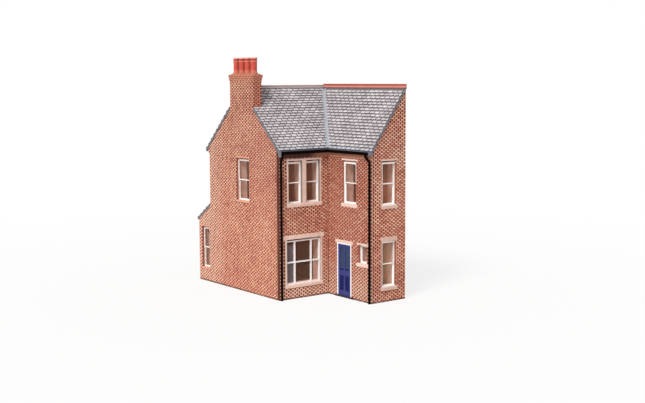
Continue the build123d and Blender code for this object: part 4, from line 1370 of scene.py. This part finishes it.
# %% World
SKY_STRENGTH = 0.36
world = bpy.data.worlds.new("studio")
world.use_nodes = True
bpy.context.scene.world = world
sky = world.node_tree
light_path = sky.nodes.new("ShaderNodeLightPath")
seen, mirrored, through = [Value(sky, light_path.outputs[ray])
                           for ray in ("Is Camera Ray", "Is Glossy Ray", "Is Transmission Ray")]
sky_light = sky.nodes["Background"]
sky_light.inputs["Color"].default_value = WHITE
sky_light.inputs["Strength"].default_value = SKY_STRENGTH
seen_sky = add_node(sky, "ShaderNodeBackground", Color=WHITE, Strength=1.0)
either_sky = add_node(sky, "ShaderNodeMixShader", entries={
    0: seen.high(mirrored).high(through), 1: Value(sky, sky_light.outputs[0]), 2: seen_sky})
plug(sky, sky.nodes["World Output"].inputs["Surface"], either_sky)
print("the sky lights the house with strength", SKY_STRENGTH)

# %% [markdown]
# ## Lamps
#
# A broad key lamp from the left and above lights the gable fully and the street side at a slant,
# which makes the bricks there look deeper. A very soft one from the street side keeps the rooms
# and the return wall from going dull.

# %% Lamps
def soft_lamp(name, strength, spread, azimuth, elevation):
    """A far lamp, spread wide. Azimuth 0 shines from the street side and -90 from the left."""
    data = bpy.data.lights.new(name, "SUN")
    data.energy = strength
    data.angle = math.radians(spread)
    lamp = bpy.data.objects.new(name, data)
    bpy.context.collection.objects.link(lamp)
    turn, rise = math.radians(azimuth), math.radians(elevation)
    source = Vector((math.sin(turn) * math.cos(rise), -math.cos(turn) * math.cos(rise),
                     math.sin(rise)))
    lamp.rotation_euler = (-source).to_track_quat("-Z", "Y").to_euler()


soft_lamp("key", strength=2.75, spread=20, azimuth=-65, elevation=44)
soft_lamp("fill", strength=0.2, spread=60, azimuth=25, elevation=40)
print(len(bpy.data.lights), "lamps")

# %% [markdown]
# ## The camera
#
# The camera stands a little above the ridge and looks slightly down at the corner of the gable and
# the street side. Its place is given from the house's own corners, and its turn by three angles:
# heading to the right, dip below the horizon and a trace of tilt.

# %% Camera
CAMERA_PLACE = Vector((CORNER_X - 0.36285, MAIN_Y - 0.46847, 0.12021))
HEADING = 37.453
DIP = 6.557
TILT = -0.246
FOCAL_LENGTH = 59.72
SENSOR_WIDTH = 36
NEAREST_SEEN = 0.01
camera_data = bpy.data.cameras.new("camera")
camera_data.lens = FOCAL_LENGTH
camera_data.sensor_width = SENSOR_WIDTH
camera_data.clip_start = NEAREST_SEEN
camera = bpy.data.objects.new("camera", camera_data)
bpy.context.collection.objects.link(camera)
camera.matrix_world = (Matrix.Translation(CAMERA_PLACE)
                       @ Matrix.Rotation(math.radians(-HEADING), 4, "Z")
                       @ Matrix.Rotation(math.radians(90 - DIP), 4, "X")
                       @ Matrix.Rotation(math.radians(TILT), 4, "Z"))
bpy.context.scene.camera = camera
bpy.context.scene.view_settings.view_transform = "Standard"
print("camera at", tuple(round(value, 4) for value in CAMERA_PLACE))
